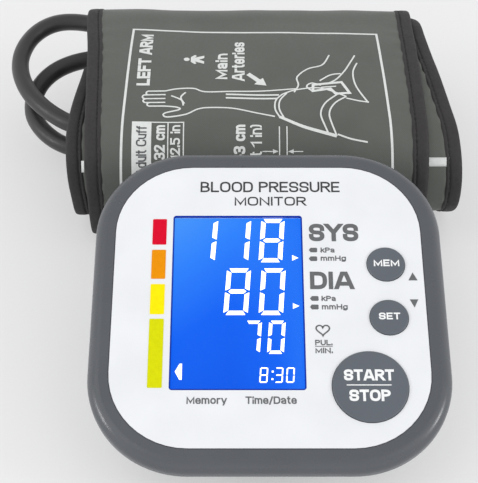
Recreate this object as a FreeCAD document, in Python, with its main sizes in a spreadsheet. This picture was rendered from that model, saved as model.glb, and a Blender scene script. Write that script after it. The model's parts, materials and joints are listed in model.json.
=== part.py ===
"""Upper arm blood pressure monitor with its rolled cuff: a parametric FreeCAD model.

Row frame, in millimetres: +Z is up, the face of the monitor leans back towards +Y, and the rolled
cuff lies behind the monitor with its roll along X.  The origin is on the table, at the middle of
the object's box without its hose.  The monitor's face has a frame of its own, "face_frame": its
origin is the centre of the white panel, +Y runs up the face and +Z leaves it.
"""
import FreeCAD, Part
import math
import os
import Sketcher

Vector = FreeCAD.Vector
doc = FreeCAD.newDocument("blood_pressure_monitor")

# --------------------------------------------------------------------------- driving dimensions
DRIVING = {
    # where the face panel stands
    "face_tilt": 16.5, "face_back": -63.9, "face_rise": 43.0,
    # front panel and the ring round it
    "panel_side": 118.4, "panel_corner": 29.6, "panel_thick": 2.0,
    "bezel_side": 134.4, "bezel_corner": 37.4, "bezel_deep": 10.0,
    "bezel_top_round": 4.5, "bezel_low_round": 4.0, "bezel_inside": 124.0,
    "ledge_wide": 3.0, "ledge_thick": 2.0, "panel_gap": 0.1,
    # display
    "lcd_x": -11.8, "lcd_wide": 50.2, "lcd_high": 73.6,
    "window_sunk": 0.8, "window_thick": 1.2, "lcd_glass_thick": 1.7, "backlight_thick": 2.6,
    # buttons: centres on the face and diameters
    "small_x": 44.9, "memory_y": 15.1, "set_y": -7.5, "small_size": 14.5,
    "start_x": 36.5, "start_y": -35.4, "start_size": 27.9,
    "cap_gap": 0.2, "cap_proud": 0.7, "flange_wide": 1.6, "flange_thick": 0.8,
    "button_travel": 0.6, "switch_side": 6.0,
    # circuit board
    "board_wide": 106.0, "board_high": 78.0, "board_thick": 1.6, "board_drop": 8.2,
    # rear case: its flat base, and its rim under the ring
    "base_wide": 114.0, "base_long": 106.0, "base_y": -57.4, "base_corner": 31.0,
    "rim_side": 126.0, "rim_corner": 33.2, "foot_high": 1.5, "foot_size": 10.0, "wall": 2.2,
    # case screws
    "front_post_x": 18.0, "front_post_y": -105.4, "rear_post_x": 45.5, "rear_post_y": -19.9,
    "post_size": 9.0, "boss_size": 7.0, "boss_long": 14.0, "screw_size": 2.8, "screw_head": 5.4,
    # batteries: four AA cells side by side
    "cell_size": 14.5, "cell_long": 50.5, "cell_pitch": 15.2, "bay_y": -58.4, "bay_long": 60.6,
    "bay_wide": 62.6, "bay_top": 18.9, "bay_wall": 1.5, "door_thick": 2.0, "door_gap": 0.35,
    # air system
    "pump_y": -15.2, "pump_z": 18.0, "pump_size": 20.0, "shaft_size": 2.0, "shaft_gap": 0.05,
    "socket_x": -61.6, "socket_y": -46.0, "socket_z": 20.0, "socket_bore": 6.0, "socket_long": 14.0,
    "hose_size": 8.0, "plug_size": 5.8,
    # cuff: the roll's outline and the strip that it is wound from
    "cuff_front": 10.5, "cuff_rear": 127.3, "cuff_top": 56.0, "strip_thick": 3.0,
    "strip_pitch": 3.4, "skin_thick": 0.9, "fold_size": 25.0, "dome_tilt": 5.8,
    "strip_wide": 150.0, "binding_wide": 5.0, "first_lap_x": -82.3, "second_lap_x": -62.0,
    "third_lap_x": -88.0, "inner_end_y": 73.5, "outer_end_y": 54.0,
}
sheet = doc.addObject("Spreadsheet::Sheet", "dims")
for row, (word, number) in enumerate(DRIVING.items(), start=1):
    sheet.set(f"A{row}", word)
    sheet.set(f"B{row}", str(number))
    sheet.setAlias(f"B{row}", word)
doc.recompute()


class Size(float):
    """A length or angle that remembers the spreadsheet expression that it comes from."""

    def __new__(cls, value, text):
        size = float.__new__(cls, value)
        size.text = text
        return size

    def __add__(self, other):
        return joined(self, "+", other)

    def __radd__(self, other):
        return joined(other, "+", self)

    def __sub__(self, other):
        return joined(self, "-", other)

    def __rsub__(self, other):
        return joined(other, "-", self)

    def __mul__(self, other):
        return joined(self, "*", other)

    def __rmul__(self, other):
        return joined(other, "*", self)

    def __truediv__(self, other):
        return joined(self, "/", other)

    def __neg__(self):
        return joined(0.0, "-", self)


def text_of(size):
    return size.text if isinstance(size, Size) else repr(float(size))


def joined(left, sign, right):
    a, b = float(left), float(right)
    value = {"+": a + b, "-": a - b, "*": a * b, "/": a / b if b else 0.0}[sign]
    return Size(value, f"({text_of(left)} {sign} {text_of(right)})")


class Driving:
    """Every cell of the sheet as a Size, such as d.wall."""

    def __getattr__(self, word):
        return Size(sheet.get(word), f"dims.{word}")


d = Driving()


# ----------------------------------------------------------------------------- building helpers
def bind(thing, **sizes):
    for name, size in sizes.items():
        thing.setExpression(name, text_of(size))


def place(thing, point, turn=((0, 0, 1), 0), frame=None):
    """Bind a Placement: a point and a turn about an axis, in the row frame or in the face's."""
    where = "; ".join(text_of(value) for value in point)
    axis = "; ".join(str(value) for value in turn[0])
    text = f"placement(vector({where}); rotation(vector({axis}); {text_of(turn[1])}))"
    thing.setExpression("Placement", f"{frame}.Placement * {text}" if frame else text)


ALONG = {"z": ((0, 0, 1), 0), "x": ((0, 1, 0), 90), "y": ((1, 0, 0), -90)}


def block(name, low, high, frame=None):
    thing = doc.addObject("Part::Box", name)
    bind(thing, Length=high[0] - low[0], Width=high[1] - low[1], Height=high[2] - low[2])
    place(thing, low, frame=frame)
    return thing


def rod(name, size, start, length, along="z", frame=None):
    """A cylinder of a given diameter, from the middle of its first end."""
    thing = doc.addObject("Part::Cylinder", name)
    bind(thing, Radius=size / 2, Height=length)
    place(thing, start, ALONG[along], frame)
    return thing


def fuse(name, *things):
    thing = doc.addObject("Part::MultiFuse", name)
    thing.Shapes = list(things)
    thing.Refine = True
    return thing


def cut(name, base, *tools):
    thing = doc.addObject("Part::Cut", name)
    thing.Base = base
    thing.Tool = tools[0] if len(tools) == 1 else fuse(f"{name}_tools", *tools)
    return thing


def group(name, *things):
    """Identical or related pieces that stay separate solids in one node."""
    thing = doc.addObject("Part::Compound", name)
    thing.Links = list(things)
    return thing


def rounded_outline(sketch, wide, high, corner):
    """Draw a fully constrained rectangle with round corners about the sketch's origin."""
    x, y, r = wide / 2.0, high / 2.0, float(corner)
    ends = [((-x + r, -y), (x - r, -y)), ((x, -y + r), (x, y - r)),
            ((x - r, y), (-x + r, y)), ((-x, y - r), (-x, -y + r))]
    for first, last in ends:
        sketch.addGeometry(Part.LineSegment(Vector(*first, 0), Vector(*last, 0)), False)
    centres = [(x - r, -y + r), (x - r, y - r), (-x + r, y - r), (-x + r, -y + r)]
    for turn, centre in enumerate(centres):
        circle = Part.Circle(Vector(*centre, 0), Vector(0, 0, 1), r)
        start = math.radians(90 * turn - 90)
        sketch.addGeometry(Part.ArcOfCircle(circle, start, start + math.pi / 2), False)
    for side in range(4):
        sketch.addConstraint(Sketcher.Constraint("Tangent", side, 2, 4 + side, 1))
        sketch.addConstraint(Sketcher.Constraint("Tangent", 4 + side, 2, (side + 1) % 4, 1))
    for side in (0, 2):
        sketch.addConstraint(Sketcher.Constraint("Horizontal", side))
        sketch.addConstraint(Sketcher.Constraint("Vertical", side + 1))
    for turn in (5, 6, 7):
        sketch.addConstraint(Sketcher.Constraint("Equal", 4, turn))
    sketch.addConstraint(Sketcher.Constraint("Symmetric", 7, 3, 5, 3, -1, 1))
    named = {"corner": (Sketcher.Constraint("Radius", 4, r), corner),
             "wide": (Sketcher.Constraint("DistanceX", 3, 1, 1, 1, 2 * x), wide),
             "high": (Sketcher.Constraint("DistanceY", 0, 1, 2, 1, 2 * y), high)}
    for word, (constraint, size) in named.items():
        index = sketch.addConstraint(constraint)
        sketch.renameConstraint(index, word)
        sketch.setExpression(f"Constraints.{word}", text_of(size))


def prism(name, wide, high, corner, foot, deep, frame=None):
    """A rounded rectangle drawn about the point foot and extruded upwards."""
    outline = doc.addObject("Sketcher::SketchObject", f"{name}_outline")
    rounded_outline(outline, wide, high, corner)
    place(outline, foot, frame=frame)
    thing = doc.addObject("Part::Extrusion", name)
    thing.Base = outline
    thing.DirMode = "Normal"
    thing.Solid = True
    bind(thing, LengthFwd=deep)
    return thing


def body(name, frame="face_frame", at=(0.0, 0.0, 0.0)):
    thing = doc.addObject("PartDesign::Body", name)
    place(thing, at, frame=frame)
    return thing


def plane_of(owner, role):
    return next(f for f in owner.Origin.OriginFeatures if f.Role == role)


def sketch_in(owner, name, role="XY_Plane", rise=0.0):
    sketch = owner.newObject("Sketcher::SketchObject", name)
    sketch.AttachmentSupport = [(plane_of(owner, role), "")]
    sketch.MapMode = "FlatFace"
    bind(sketch, **{"AttachmentOffset.Base.z": rise})
    return sketch


def pad(owner, sketch, deep, upward=True):
    feature = owner.newObject("PartDesign::Pad", f"{sketch.Name}_pad")
    feature.Profile = sketch
    feature.Reversed = not upward
    bind(feature, Length=deep)
    return feature


def pocket(owner, sketch, deep, upward=False):
    """Cut the sketch's outline downwards, or upwards, and make sure that material went."""
    doc.recompute()
    before = owner.Shape.Volume
    feature = owner.newObject("PartDesign::Pocket", f"{sketch.Name}_pocket")
    feature.Profile = sketch
    feature.Reversed = upward
    bind(feature, Length=deep)
    doc.recompute()
    if owner.Shape.Volume > before - 1.0:
        raise RuntimeError(f"{sketch.Name} cut nothing")
    return feature


def flat_face(feature, height):
    """The name of the level face of a feature at this height in its body."""
    for index, face in enumerate(feature.Shape.Faces, start=1):
        level = abs(face.BoundBox.ZMin - height) < 1e-4 and abs(face.BoundBox.ZMax - height) < 1e-4
        if level:
            return f"Face{index}"
    raise RuntimeError(f"{feature.Name} has no level face at {height}")


def round_face(owner, feature, height, radius):
    doc.recompute()
    fillet = owner.newObject("PartDesign::Fillet", f"{feature.Name}_round")
    fillet.Base = (feature, [flat_face(feature, float(height))])
    bind(fillet, Radius=radius)
    doc.recompute()
    return fillet


def turned(name, profile, at, frame="face_frame"):
    """A PartDesign body turned about its own Z axis from (radius, height) corners."""
    owner = body(name, frame, at)
    sketch = sketch_in(owner, f"{name}_profile", "XZ_Plane")
    corners = [(float(x), float(z)) for x, z in profile]
    for index, corner in enumerate(corners):
        following = corners[(index + 1) % len(corners)]
        sketch.addGeometry(Part.LineSegment(Vector(*corner, 0), Vector(*following, 0)), False)
    for index, (radius, height) in enumerate(profile):
        sketch.addConstraint(
            Sketcher.Constraint("Coincident", index, 2, (index + 1) % len(corners), 1))
        for kind, size in (("DistanceX", radius), ("DistanceY", height)):
            where = Sketcher.Constraint(kind, -1, 1, index, 1, float(size))
            word = f"{kind}{index}"
            sketch.renameConstraint(sketch.addConstraint(where), word)
            sketch.setExpression(f"Constraints.{word}", text_of(size))
    feature = owner.newObject("PartDesign::Revolution", f"{name}_turned")
    feature.Profile = sketch
    feature.ReferenceAxis = (sketch, ["V_Axis"])
    feature.Angle = 360
    return owner, feature


def made(name, shape):
    """A Part::Feature for a shape that neither primitives nor sketches describe well."""
    thing = doc.addObject("Part::Feature", name)
    thing.Shape = shape
    return thing


def rounded_path(points, name):
    """Straight runs joined by tangent arcs, each arc as large as its two runs allow."""
    points = [Vector(*point) for point in points]
    edges, here, radii = [], points[0], []
    for before, corner, after in zip(points, points[1:], points[2:]):
        inward, onward = (before - corner), (after - corner)
        share = 0.45 * min(inward.Length, onward.Length)
        turn = math.pi - inward.getAngle(onward)
        radii.append(share / math.tan(turn / 2))
        start = corner + inward.normalize() * share
        end = corner + onward.normalize() * share
        middle_way = (inward + onward).normalize()
        reach = radii[-1] / math.cos(turn / 2) - radii[-1]
        edges.append(Part.LineSegment(here, start).toShape())
        edges.append(Part.Arc(start, corner + middle_way * reach, end).toShape())
        here = end
    edges.append(Part.LineSegment(here, points[-1]).toShape())
    path = Part.Wire(edges)
    print(f"{name}: {path.Length:.1f} mm long, arcs {min(radii):.1f} to {max(radii):.1f} mm,"
          f" tightest at point {radii.index(min(radii)) + 1}")
    return path


def tube(name, points, size):
    """A round solid along a path, with its volume compared with section times length."""
    path = rounded_path(points, name)
    heading = Vector(*points[1]) - Vector(*points[0])
    circle = Part.Wire(Part.Circle(Vector(*points[0]), heading, size / 2.0).toShape())
    solid = path.makePipeShell([circle], True, False)
    expected = math.pi * size ** 2 / 4 * path.Length
    if abs(solid.Volume / expected - 1) > 0.01:
        raise RuntimeError(f"{name}: volume {solid.Volume:.0f}, expected {expected:.0f}")
    return solid


# ------------------------------------------------------------------------------- the face's frame
face_frame = doc.addObject("App::Placement", "face_frame")
face_text = "placement(vector(0; dims.face_back; dims.face_rise); rotation(vector(1; 0; 0); dims.face_tilt))"
face_frame.setExpression("Placement", face_text)
doc.recompute()
FACE = "face_frame"
UNDER_PANEL = -d.panel_thick
BOARD_TOP = -d.board_drop
BOARD_LOW = BOARD_TOP - d.board_thick


def on_face(x, y, z):
    """A point of the face's frame in the row frame."""
    return face_frame.Placement.multVec(Vector(x, y, z))


POSTS = [(side * x, y) for side in (-1, 1)
         for x, y in ((d.front_post_x, d.front_post_y), (d.rear_post_x, d.rear_post_y))]


def boss_low(y):
    """Height of the lower end of the panel's screw boss: its upper end is inside the panel."""
    tilt = math.radians(d.face_tilt)
    up_face = (y - d.face_back - d.panel_thick * math.sin(tilt)) / math.cos(tilt)
    return on_face(0, up_face, UNDER_PANEL).z + 1.0 - d.boss_long


# ------------------------------------------------------------------------------------ front shell
def front_bezel():
    owner = body("front_bezel")
    outline = sketch_in(owner, "bezel_outer")
    rounded_outline(outline, d.bezel_side, d.bezel_side, d.bezel_corner)
    ring = pad(owner, outline, d.bezel_deep, upward=False)
    ring = round_face(owner, ring, 0.0, d.bezel_top_round)
    round_face(owner, ring, -d.bezel_deep, d.bezel_low_round)

    seat = sketch_in(owner, "panel_seat")
    seat_side, seat_corner = d.panel_side + 2 * d.panel_gap, d.panel_corner + d.panel_gap
    rounded_outline(seat, seat_side, seat_side, seat_corner)
    pocket(owner, seat, d.panel_thick)
    throat = sketch_in(owner, "bezel_throat")
    throat_side, throat_corner = seat_side - 2 * d.ledge_wide, seat_corner - d.ledge_wide
    rounded_outline(throat, throat_side, throat_side, throat_corner)
    pocket(owner, throat, d.bezel_deep + 1)
    inside = sketch_in(owner, "bezel_inside", rise=-d.bezel_deep)
    inside_corner = d.bezel_corner - (d.bezel_side - d.bezel_inside) / 2
    rounded_outline(inside, d.bezel_inside, d.bezel_inside, inside_corner)
    pocket(owner, inside, d.bezel_deep - d.panel_thick - d.ledge_thick, upward=True)
    return owner


BUTTONS = {"memory_button": (d.small_x, d.memory_y, d.small_size),
           "set_button": (d.small_x, d.set_y, d.small_size),
           "start_stop_button": (d.start_x, d.start_y, d.start_size)}
BOARD_POSTS = [(-49.0, -34.0), (-49.0, 34.0), (21.0, -19.0), (22.5, 34.0)]


def front_panel():
    sheet_side = prism("panel_sheet", d.panel_side, d.panel_side, d.panel_corner,
                       (0, 0, UNDER_PANEL), d.panel_thick, FACE)
    posts = [rod(f"board_post_{index}", 4.5, (x, y, BOARD_TOP + 0.05), d.board_drop - 1.0, frame=FACE)
             for index, (x, y) in enumerate(BOARD_POSTS)]
    bosses = [rod(f"panel_boss_{index}", d.boss_size, (x, y, boss_low(y)), d.boss_long)
              for index, (x, y) in enumerate(POSTS)]
    window = prism("window_hole", d.lcd_wide, d.lcd_high, 1.2, (d.lcd_x, 0, UNDER_PANEL - 1),
                   d.panel_thick + 2, FACE)
    holes = [rod(f"{name}_hole", size + 2 * d.cap_gap, (x, y, UNDER_PANEL - 1), d.panel_thick + 2, frame=FACE)
             for name, (x, y, size) in BUTTONS.items()]
    pilots = [rod(f"board_pilot_{index}", 1.7, (x, y, BOARD_TOP - 1), 5.6, frame=FACE)
              for index, (x, y) in enumerate(BOARD_POSTS)]
    screw_holes = [rod(f"boss_hole_{index}", d.screw_size + 0.1, (x, y, boss_low(y) - 1), 11.0)
                   for index, (x, y) in enumerate(POSTS)]
    whole = fuse("panel_with_posts", sheet_side, *posts, *bosses)
    return cut("front_panel", whole, window, *holes, *pilots, *screw_holes)


# ---------------------------------------------------------------------------------------- display
def display_window():
    low = -d.window_sunk - d.window_thick
    return prism("display_window", d.lcd_wide - 0.2, d.lcd_high - 0.2, 1.1, (d.lcd_x, 0, low),
                 d.window_thick, FACE)


GLASS_TOP = UNDER_PANEL - 0.1
GLASS_LOW = GLASS_TOP - d.lcd_glass_thick
LIGHT_LOW = GLASS_LOW - 0.1 - d.backlight_thick


def lcd_glass():
    return prism("lcd_glass", d.lcd_wide + 1.8, d.lcd_high + 1.9, 0.4, (d.lcd_x, 0, GLASS_LOW),
                 d.lcd_glass_thick, FACE)


def lcd_backlight():
    return prism("lcd_backlight", d.lcd_wide + 1.8, d.lcd_high + 1.9, 0.4, (d.lcd_x, 0, LIGHT_LOW),
                 d.backlight_thick, FACE)


def lcd_frame():
    low = BOARD_TOP + 0.1
    outer = prism("lcd_frame_outer", d.lcd_wide + 6.4, d.lcd_high + 5.0, 1.5, (d.lcd_x, 0, low),
                  UNDER_PANEL - 0.05 - low, FACE)
    inner = prism("lcd_frame_inner", d.lcd_wide + 2.2, d.lcd_high + 2.3, 0.6, (d.lcd_x, 0, LIGHT_LOW - 0.05),
                  8.0, FACE)
    return cut("lcd_frame", outer, inner)


# ---------------------------------------------------------------------------------------- buttons
def button(name):
    x, y, size = BUTTONS[name]
    flange_top = UNDER_PANEL - 0.2
    flange_low = flange_top - d.flange_thick
    stem_low = flange_low - 1.0
    radius, flange, stem = size / 2, size / 2 + d.flange_wide, 2.0
    profile = [(0.0, stem_low), (stem, stem_low), (stem, flange_low), (flange, flange_low),
               (flange, flange_top), (radius, flange_top), (radius, d.cap_proud), (0.0, d.cap_proud)]
    owner, feature = turned(name, profile, (x, y, 0.0))
    round_face(owner, feature, d.cap_proud, 0.45)
    return owner


SWITCH_TOP = UNDER_PANEL - 0.2 - d.flange_thick - 1.0 - d.button_travel - 0.05


def button_switches():
    switches = []
    for name, (x, y, size) in BUTTONS.items():
        half = d.switch_side / 2
        base = block(f"{name}_switch_base", (x - half, y - half, BOARD_TOP),
                     (x + half, y + half, SWITCH_TOP - 0.7), FACE)
        plunger = rod(f"{name}_switch_top", 3.4, (x, y, SWITCH_TOP - 1), 1.0, frame=FACE)
        switches.append(fuse(f"{name}_switch", base, plunger))
    return group("button_switches", *switches)


# ---------------------------------------------------------------------------------- circuit board
def main_circuit_board():
    board = prism("board_sheet", d.board_wide, d.board_high, 2.0, (0, 0, BOARD_LOW), d.board_thick, FACE)
    holes = [rod(f"board_hole_{index}", 2.2, (x, y, BOARD_LOW - 1), d.board_thick + 2, frame=FACE)
             for index, (x, y) in enumerate(BOARD_POSTS)]
    return cut("main_circuit_board", board, *holes)


def board_components():
    """Processor, memory, crystal can and capacitors, on the underside of the board."""
    chips = [(-18.0, 18.0, 12.0, 12.0, 1.4), (4.0, 20.0, 6.0, 5.0, 1.2), (30.0, 28.0, 10.0, 4.0, 2.6),
             (-34.0, 4.0, 5.0, 4.0, 1.6)]
    pieces = [block(f"chip_{index}", (x - wide / 2, y - high / 2, BOARD_LOW - deep),
                    (x + wide / 2, y + high / 2, BOARD_LOW), FACE)
              for index, (x, y, wide, high, deep) in enumerate(chips)]
    cans = [rod(f"capacitor_{index}", 5.0, (x, 32.0, BOARD_LOW - 5.4), 5.4, frame=FACE)
            for index, x in enumerate((-30.0, -23.0, 8.0))]
    return group("board_components", *pieces, *cans)


def board_screws():
    screws = []
    for index, (x, y) in enumerate(BOARD_POSTS):
        head = rod(f"board_screw_head_{index}", 3.6, (x, y, BOARD_LOW - 1.4), 1.4, frame=FACE)
        shank = rod(f"board_screw_shank_{index}", 1.6, (x, y, BOARD_LOW - 0.4), 6.0, frame=FACE)
        screws.append(fuse(f"board_screw_{index}", head, shank))
    return group("board_screws", *screws)


def beeper():
    return rod("beeper", 12.0, (-40.0, -24.0, BOARD_LOW - 4.0), 4.0, frame=FACE)


# -------------------------------------------------------------------------------------- rear case
BASE_TOP = d.foot_high + d.wall
BAY_FRONT, BAY_REAR = d.bay_y - d.bay_long / 2, d.bay_y + d.bay_long / 2
HINGE_Y, HINGE_Z = BAY_FRONT + 1.8, d.foot_high + 2.4
HINGE_X, PIN_SIZE, DOOR_SWING = 26.0, 2.4, 5.5
CAN_START, CAN_LONG = -12.0, 24.0
HEAD_START, HEAD_LONG = -30.0, 17.6
JACK_X, JACK_Y, JACK_Z, JACK_HALF = 61.2, -46.0, 17.0, 4.4


def bowl(name, inset, low, joint_depth):
    """The case's outline from its flat base up to the tilted joint, drawn in by an inset."""
    base = doc.addObject("Sketcher::SketchObject", f"{name}_base")
    rounded_outline(base, d.base_wide - 2 * inset, d.base_long - 2 * inset, d.base_corner - inset)
    place(base, (0.0, d.base_y, low))
    rim = doc.addObject("Sketcher::SketchObject", f"{name}_rim")
    rounded_outline(rim, d.rim_side - 2 * inset, d.rim_side - 2 * inset, d.rim_corner - inset)
    place(rim, (0.0, 0.0, -joint_depth), frame=FACE)
    loft = doc.addObject("Part::Loft", name)
    loft.Sections = [base, rim]
    loft.Solid = True
    loft.Ruled = True
    return loft


def case_lip():
    """A lip on the case's rim that enters the ring."""
    lip_deep, lip_gap, lip_thick = 5.5, 0.2, 2.0
    side = d.bezel_inside - 2 * lip_gap
    corner = d.bezel_corner - (d.bezel_side - side) / 2
    outer = prism("lip_outer", side, side, corner, (0, 0, -d.bezel_deep - 1.5), lip_deep, FACE)
    inner = prism("lip_inner", side - 2 * lip_thick, side - 2 * lip_thick, corner - lip_thick,
                  (0, 0, -d.bezel_deep - 3), lip_deep + 6, FACE)
    return cut("case_lip", outer, inner)


def rear_case():
    outer = bowl("case_outer", 0.0, d.foot_high, d.bezel_deep + 0.2)
    inner = bowl("case_inner", d.wall, BASE_TOP, d.bezel_deep - 0.8)
    shell = cut("case_shell", outer, inner)
    bay = block("bay_outer", (-d.bay_wide / 2 - d.bay_wall, BAY_FRONT - d.bay_wall, d.foot_high + 0.5),
                (d.bay_wide / 2 + d.bay_wall, BAY_REAR + d.bay_wall, d.bay_top + d.bay_wall))
    posts, wells = [], []
    for index, (x, y) in enumerate(POSTS):
        top = boss_low(y) - 0.2
        posts.append(rod(f"case_post_{index}", d.post_size, (x, y, d.foot_high), top - d.foot_high))
        wells.append(rod(f"screw_well_{index}", d.screw_head + 0.6, (x, y, d.foot_high - 1),
                         top - 3.0 - d.foot_high + 1))
        wells.append(rod(f"screw_hole_{index}", d.screw_size + 0.4, (x, y, top - 5), 8.0))
    cradle = block("pump_cradle", (HEAD_START + 1, d.pump_y - 7.6, d.foot_high + 0.5),
                   (CAN_START + CAN_LONG - 1, d.pump_y + 7.6, 12.0))
    socket_boss = rod("socket_boss", 16.0, (d.socket_x, d.socket_y, d.socket_z), 7.0, "x")
    jack_boss = block("jack_boss", (JACK_X - 8, JACK_Y - 6.4, JACK_Z - 6.4),
                      (JACK_X, JACK_Y + 6.4, JACK_Z + 6.4))
    whole = fuse("case_with_posts", shell, case_lip(), bay, *posts, cradle, socket_boss, jack_boss)

    bay_hole = block("bay_hole", (-d.bay_wide / 2, BAY_FRONT, d.foot_high - 1),
                     (d.bay_wide / 2, BAY_REAR, d.bay_top))
    rim = block("door_rim", (-d.bay_wide / 2 - 0.6, BAY_FRONT - 0.6, d.foot_high - 1),
                (d.bay_wide / 2 + 0.6, BAY_REAR + 0.6, d.foot_high + d.door_thick + 0.3))
    pump_bed = rod("pump_bed", d.pump_size + 0.4, (HEAD_START - 3, d.pump_y, d.pump_z), 48.0, "x")
    socket_hole = rod("socket_hole", 10.2, (d.socket_x - 1, d.socket_y, d.socket_z), 12.0, "x")
    jack_hole = block("jack_hole", (JACK_X - 14, JACK_Y - JACK_HALF - 0.1, JACK_Z - JACK_HALF - 0.1),
                      (JACK_X + 1, JACK_Y + JACK_HALF + 0.1, JACK_Z + JACK_HALF + 0.1))
    sockets = [rod(f"hinge_socket_{side}", PIN_SIZE + 0.1, (x, HINGE_Y, HINGE_Z), 4.0, "x")
               for side, x in (("left", -d.bay_wide / 2 - 1.2), ("right", d.bay_wide / 2 - 2.8))]
    relief = rod("hinge_relief", DOOR_SWING, (-d.bay_wide / 2, HINGE_Y, HINGE_Z), d.bay_wide, "x")
    return cut("rear_case", whole, bay_hole, rim, relief, pump_bed, socket_hole, jack_hole, *sockets, *wells)


def case_screws():
    screws = []
    for index, (x, y) in enumerate(POSTS):
        seat = boss_low(y) - 3.2
        head = rod(f"case_screw_head_{index}", d.screw_head, (x, y, seat - 2.2), 2.1)
        shank = rod(f"case_screw_shank_{index}", d.screw_size, (x, y, seat - 1), 12.0)
        screws.append(fuse(f"case_screw_{index}", head, shank))
    return group("case_screws", *screws)


def rubber_feet():
    feet = [rod(f"foot_{side_x}_{side_y}", d.foot_size, (side_x * 38.0, d.base_y + side_y * 42.0, 0.0),
                d.foot_high)
            for side_x in (-1, 1) for side_y in (-1, 1)]
    return group("rubber_feet", *feet)


# ---------------------------------------------------------------------------------------- battery
GRIP_PITCH = 2.4


def battery_door():
    gap = d.door_gap
    low, high = d.foot_high, d.foot_high + d.door_thick
    sheet_low = (-d.bay_wide / 2 + gap, HINGE_Y - 0.6, low)
    plate = block("door_plate", sheet_low, (d.bay_wide / 2 - gap, BAY_REAR - gap, high))
    barrel = rod("door_barrel", 3.2, (-HINGE_X, HINGE_Y, HINGE_Z), 2 * HINGE_X, "x")
    pin_reach = d.bay_wide / 2 + 0.8
    pins = rod("door_pins", PIN_SIZE, (-pin_reach, HINGE_Y, HINGE_Z), 2 * pin_reach, "x")
    catch = block("door_catch", (-6.0, BAY_REAR - gap - 1.6, high - 0.5), (6.0, BAY_REAR - gap, high + 3.0))
    ribs = [block(f"door_rib_{index}", (x - 0.6, BAY_FRONT + 8, high - 0.5),
                  (x + 0.6, BAY_REAR - 8, high + 0.1))
            for index, x in enumerate((-d.cell_pitch, 0.0, d.cell_pitch))]
    grip_edges = [BAY_REAR - 8 - GRIP_PITCH * index for index in range(4)]
    grips = [block(f"door_grip_{index}", (-9.0, edge, low - 1), (9.0, edge + 1, low + 0.5))
             for index, edge in enumerate(grip_edges)]
    return cut("battery_door", fuse("door_with_hinge", plate, barrel, pins, catch, *ribs), *grips)


CELL_Z = d.foot_high + d.door_thick + 0.25 + d.cell_size / 2
CELL_X = [d.cell_pitch * (index - 1.5) for index in range(4)]
CELL_Y = d.bay_y + 0.9


def battery_cells():
    cells = []
    for index, x in enumerate(CELL_X):
        forward = index % 2 == 0
        can_y = CELL_Y - d.cell_long / 2 + (1.2 if forward else 0.0)
        can = rod(f"cell_can_{index}", d.cell_size, (x, can_y, CELL_Z), d.cell_long - 1.2, "y")
        tip_y = CELL_Y - d.cell_long / 2 if forward else CELL_Y + d.cell_long / 2 - 2.2
        tip = rod(f"cell_tip_{index}", 5.4, (x, tip_y, CELL_Z), 2.2, "y")
        cells.append(fuse(f"cell_{index}", can, tip))
    return group("battery_cells", *cells)


def battery_springs():
    """Conical contact springs at each cell's flat end, as stacked wire rings."""
    springs = []
    for index, x in enumerate(CELL_X):
        forward = index % 2 == 0
        start = CELL_Y + d.cell_long / 2 + 0.6 if forward else CELL_Y - d.cell_long / 2 - 0.6
        away = 1 if forward else -1
        rings = []
        for turn in range(4):
            ring = doc.addObject("Part::Torus", f"spring_ring_{index}_{turn}")
            bind(ring, Radius1=2.6 + 0.55 * turn, Radius2=0.45)
            place(ring, (x, start + away * 0.62 * turn, CELL_Z), ALONG["y"])
            rings.append(ring)
        springs.append(fuse(f"spring_{index}", *rings))
    return group("battery_springs", *springs)


def battery_contacts():
    """Nickelled plates on both end walls: each joins two neighbouring cells."""
    plates = []
    thick = 0.4
    rear_y = BAY_REAR - thick
    spans = [(BAY_FRONT + 0.1, 0, 0), (BAY_FRONT + 0.1, 1, 2), (BAY_FRONT + 0.1, 3, 3), (rear_y - 0.1, 0, 1),
             (rear_y - 0.1, 2, 3)]
    for index, (y, first, last) in enumerate(spans):
        plates.append(block(f"contact_{index}", (CELL_X[first] - 5.5, y, 6.6),
                            (CELL_X[last] + 5.5, y + thick, CELL_Z + 6.0)))
    return group("battery_contacts", *plates)


# ------------------------------------------------------------------------------------- air system
SHAFT_START = HEAD_START + 6.0


def pump_motor_can():
    can = rod("can_outer", d.pump_size, (CAN_START, d.pump_y, d.pump_z), CAN_LONG, "x")
    hollow = rod("can_inner", d.pump_size - 2.4, (CAN_START + 1.5, d.pump_y, d.pump_z), CAN_LONG - 3, "x")
    bore_size = d.shaft_size + 2 * d.shaft_gap
    bore = rod("can_bore", bore_size, (CAN_START - 1, d.pump_y, d.pump_z), CAN_LONG + 2, "x")
    return cut("pump_motor_can", can, hollow, bore)


def pump_head():
    head = rod("head_outer", d.pump_size, (HEAD_START, d.pump_y, d.pump_z), HEAD_LONG, "x")
    hollow = rod("head_inner", d.pump_size - 5, (HEAD_START + 5, d.pump_y, d.pump_z), HEAD_LONG - 7, "x")
    bore = rod("head_bore", d.shaft_size + 1, (HEAD_START + 8, d.pump_y, d.pump_z), HEAD_LONG, "x")
    barb = rod("head_barb", BARB, (HEAD_START - 2.5, d.pump_y, MANIFOLD[2]), 3.5, "x")
    return cut("pump_head", fuse("head_with_barb", head, barb), hollow, bore)


def pump_rotor():
    """Motor shaft with its armature and the crank that works the pump's diaphragms."""
    long = CAN_START + CAN_LONG + 1.5 - SHAFT_START
    shaft = rod("rotor_shaft", d.shaft_size, (SHAFT_START, d.pump_y, d.pump_z), long, "x")
    drum = rod("rotor_drum", 14.0, (CAN_START + 4, d.pump_y, d.pump_z), CAN_LONG - 8, "x")
    crank = rod("rotor_crank", 8.0, (SHAFT_START + 0.5, d.pump_y, d.pump_z + 1.6), 3.5, "x")
    return fuse("pump_rotor", shaft, drum, crank)


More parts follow.
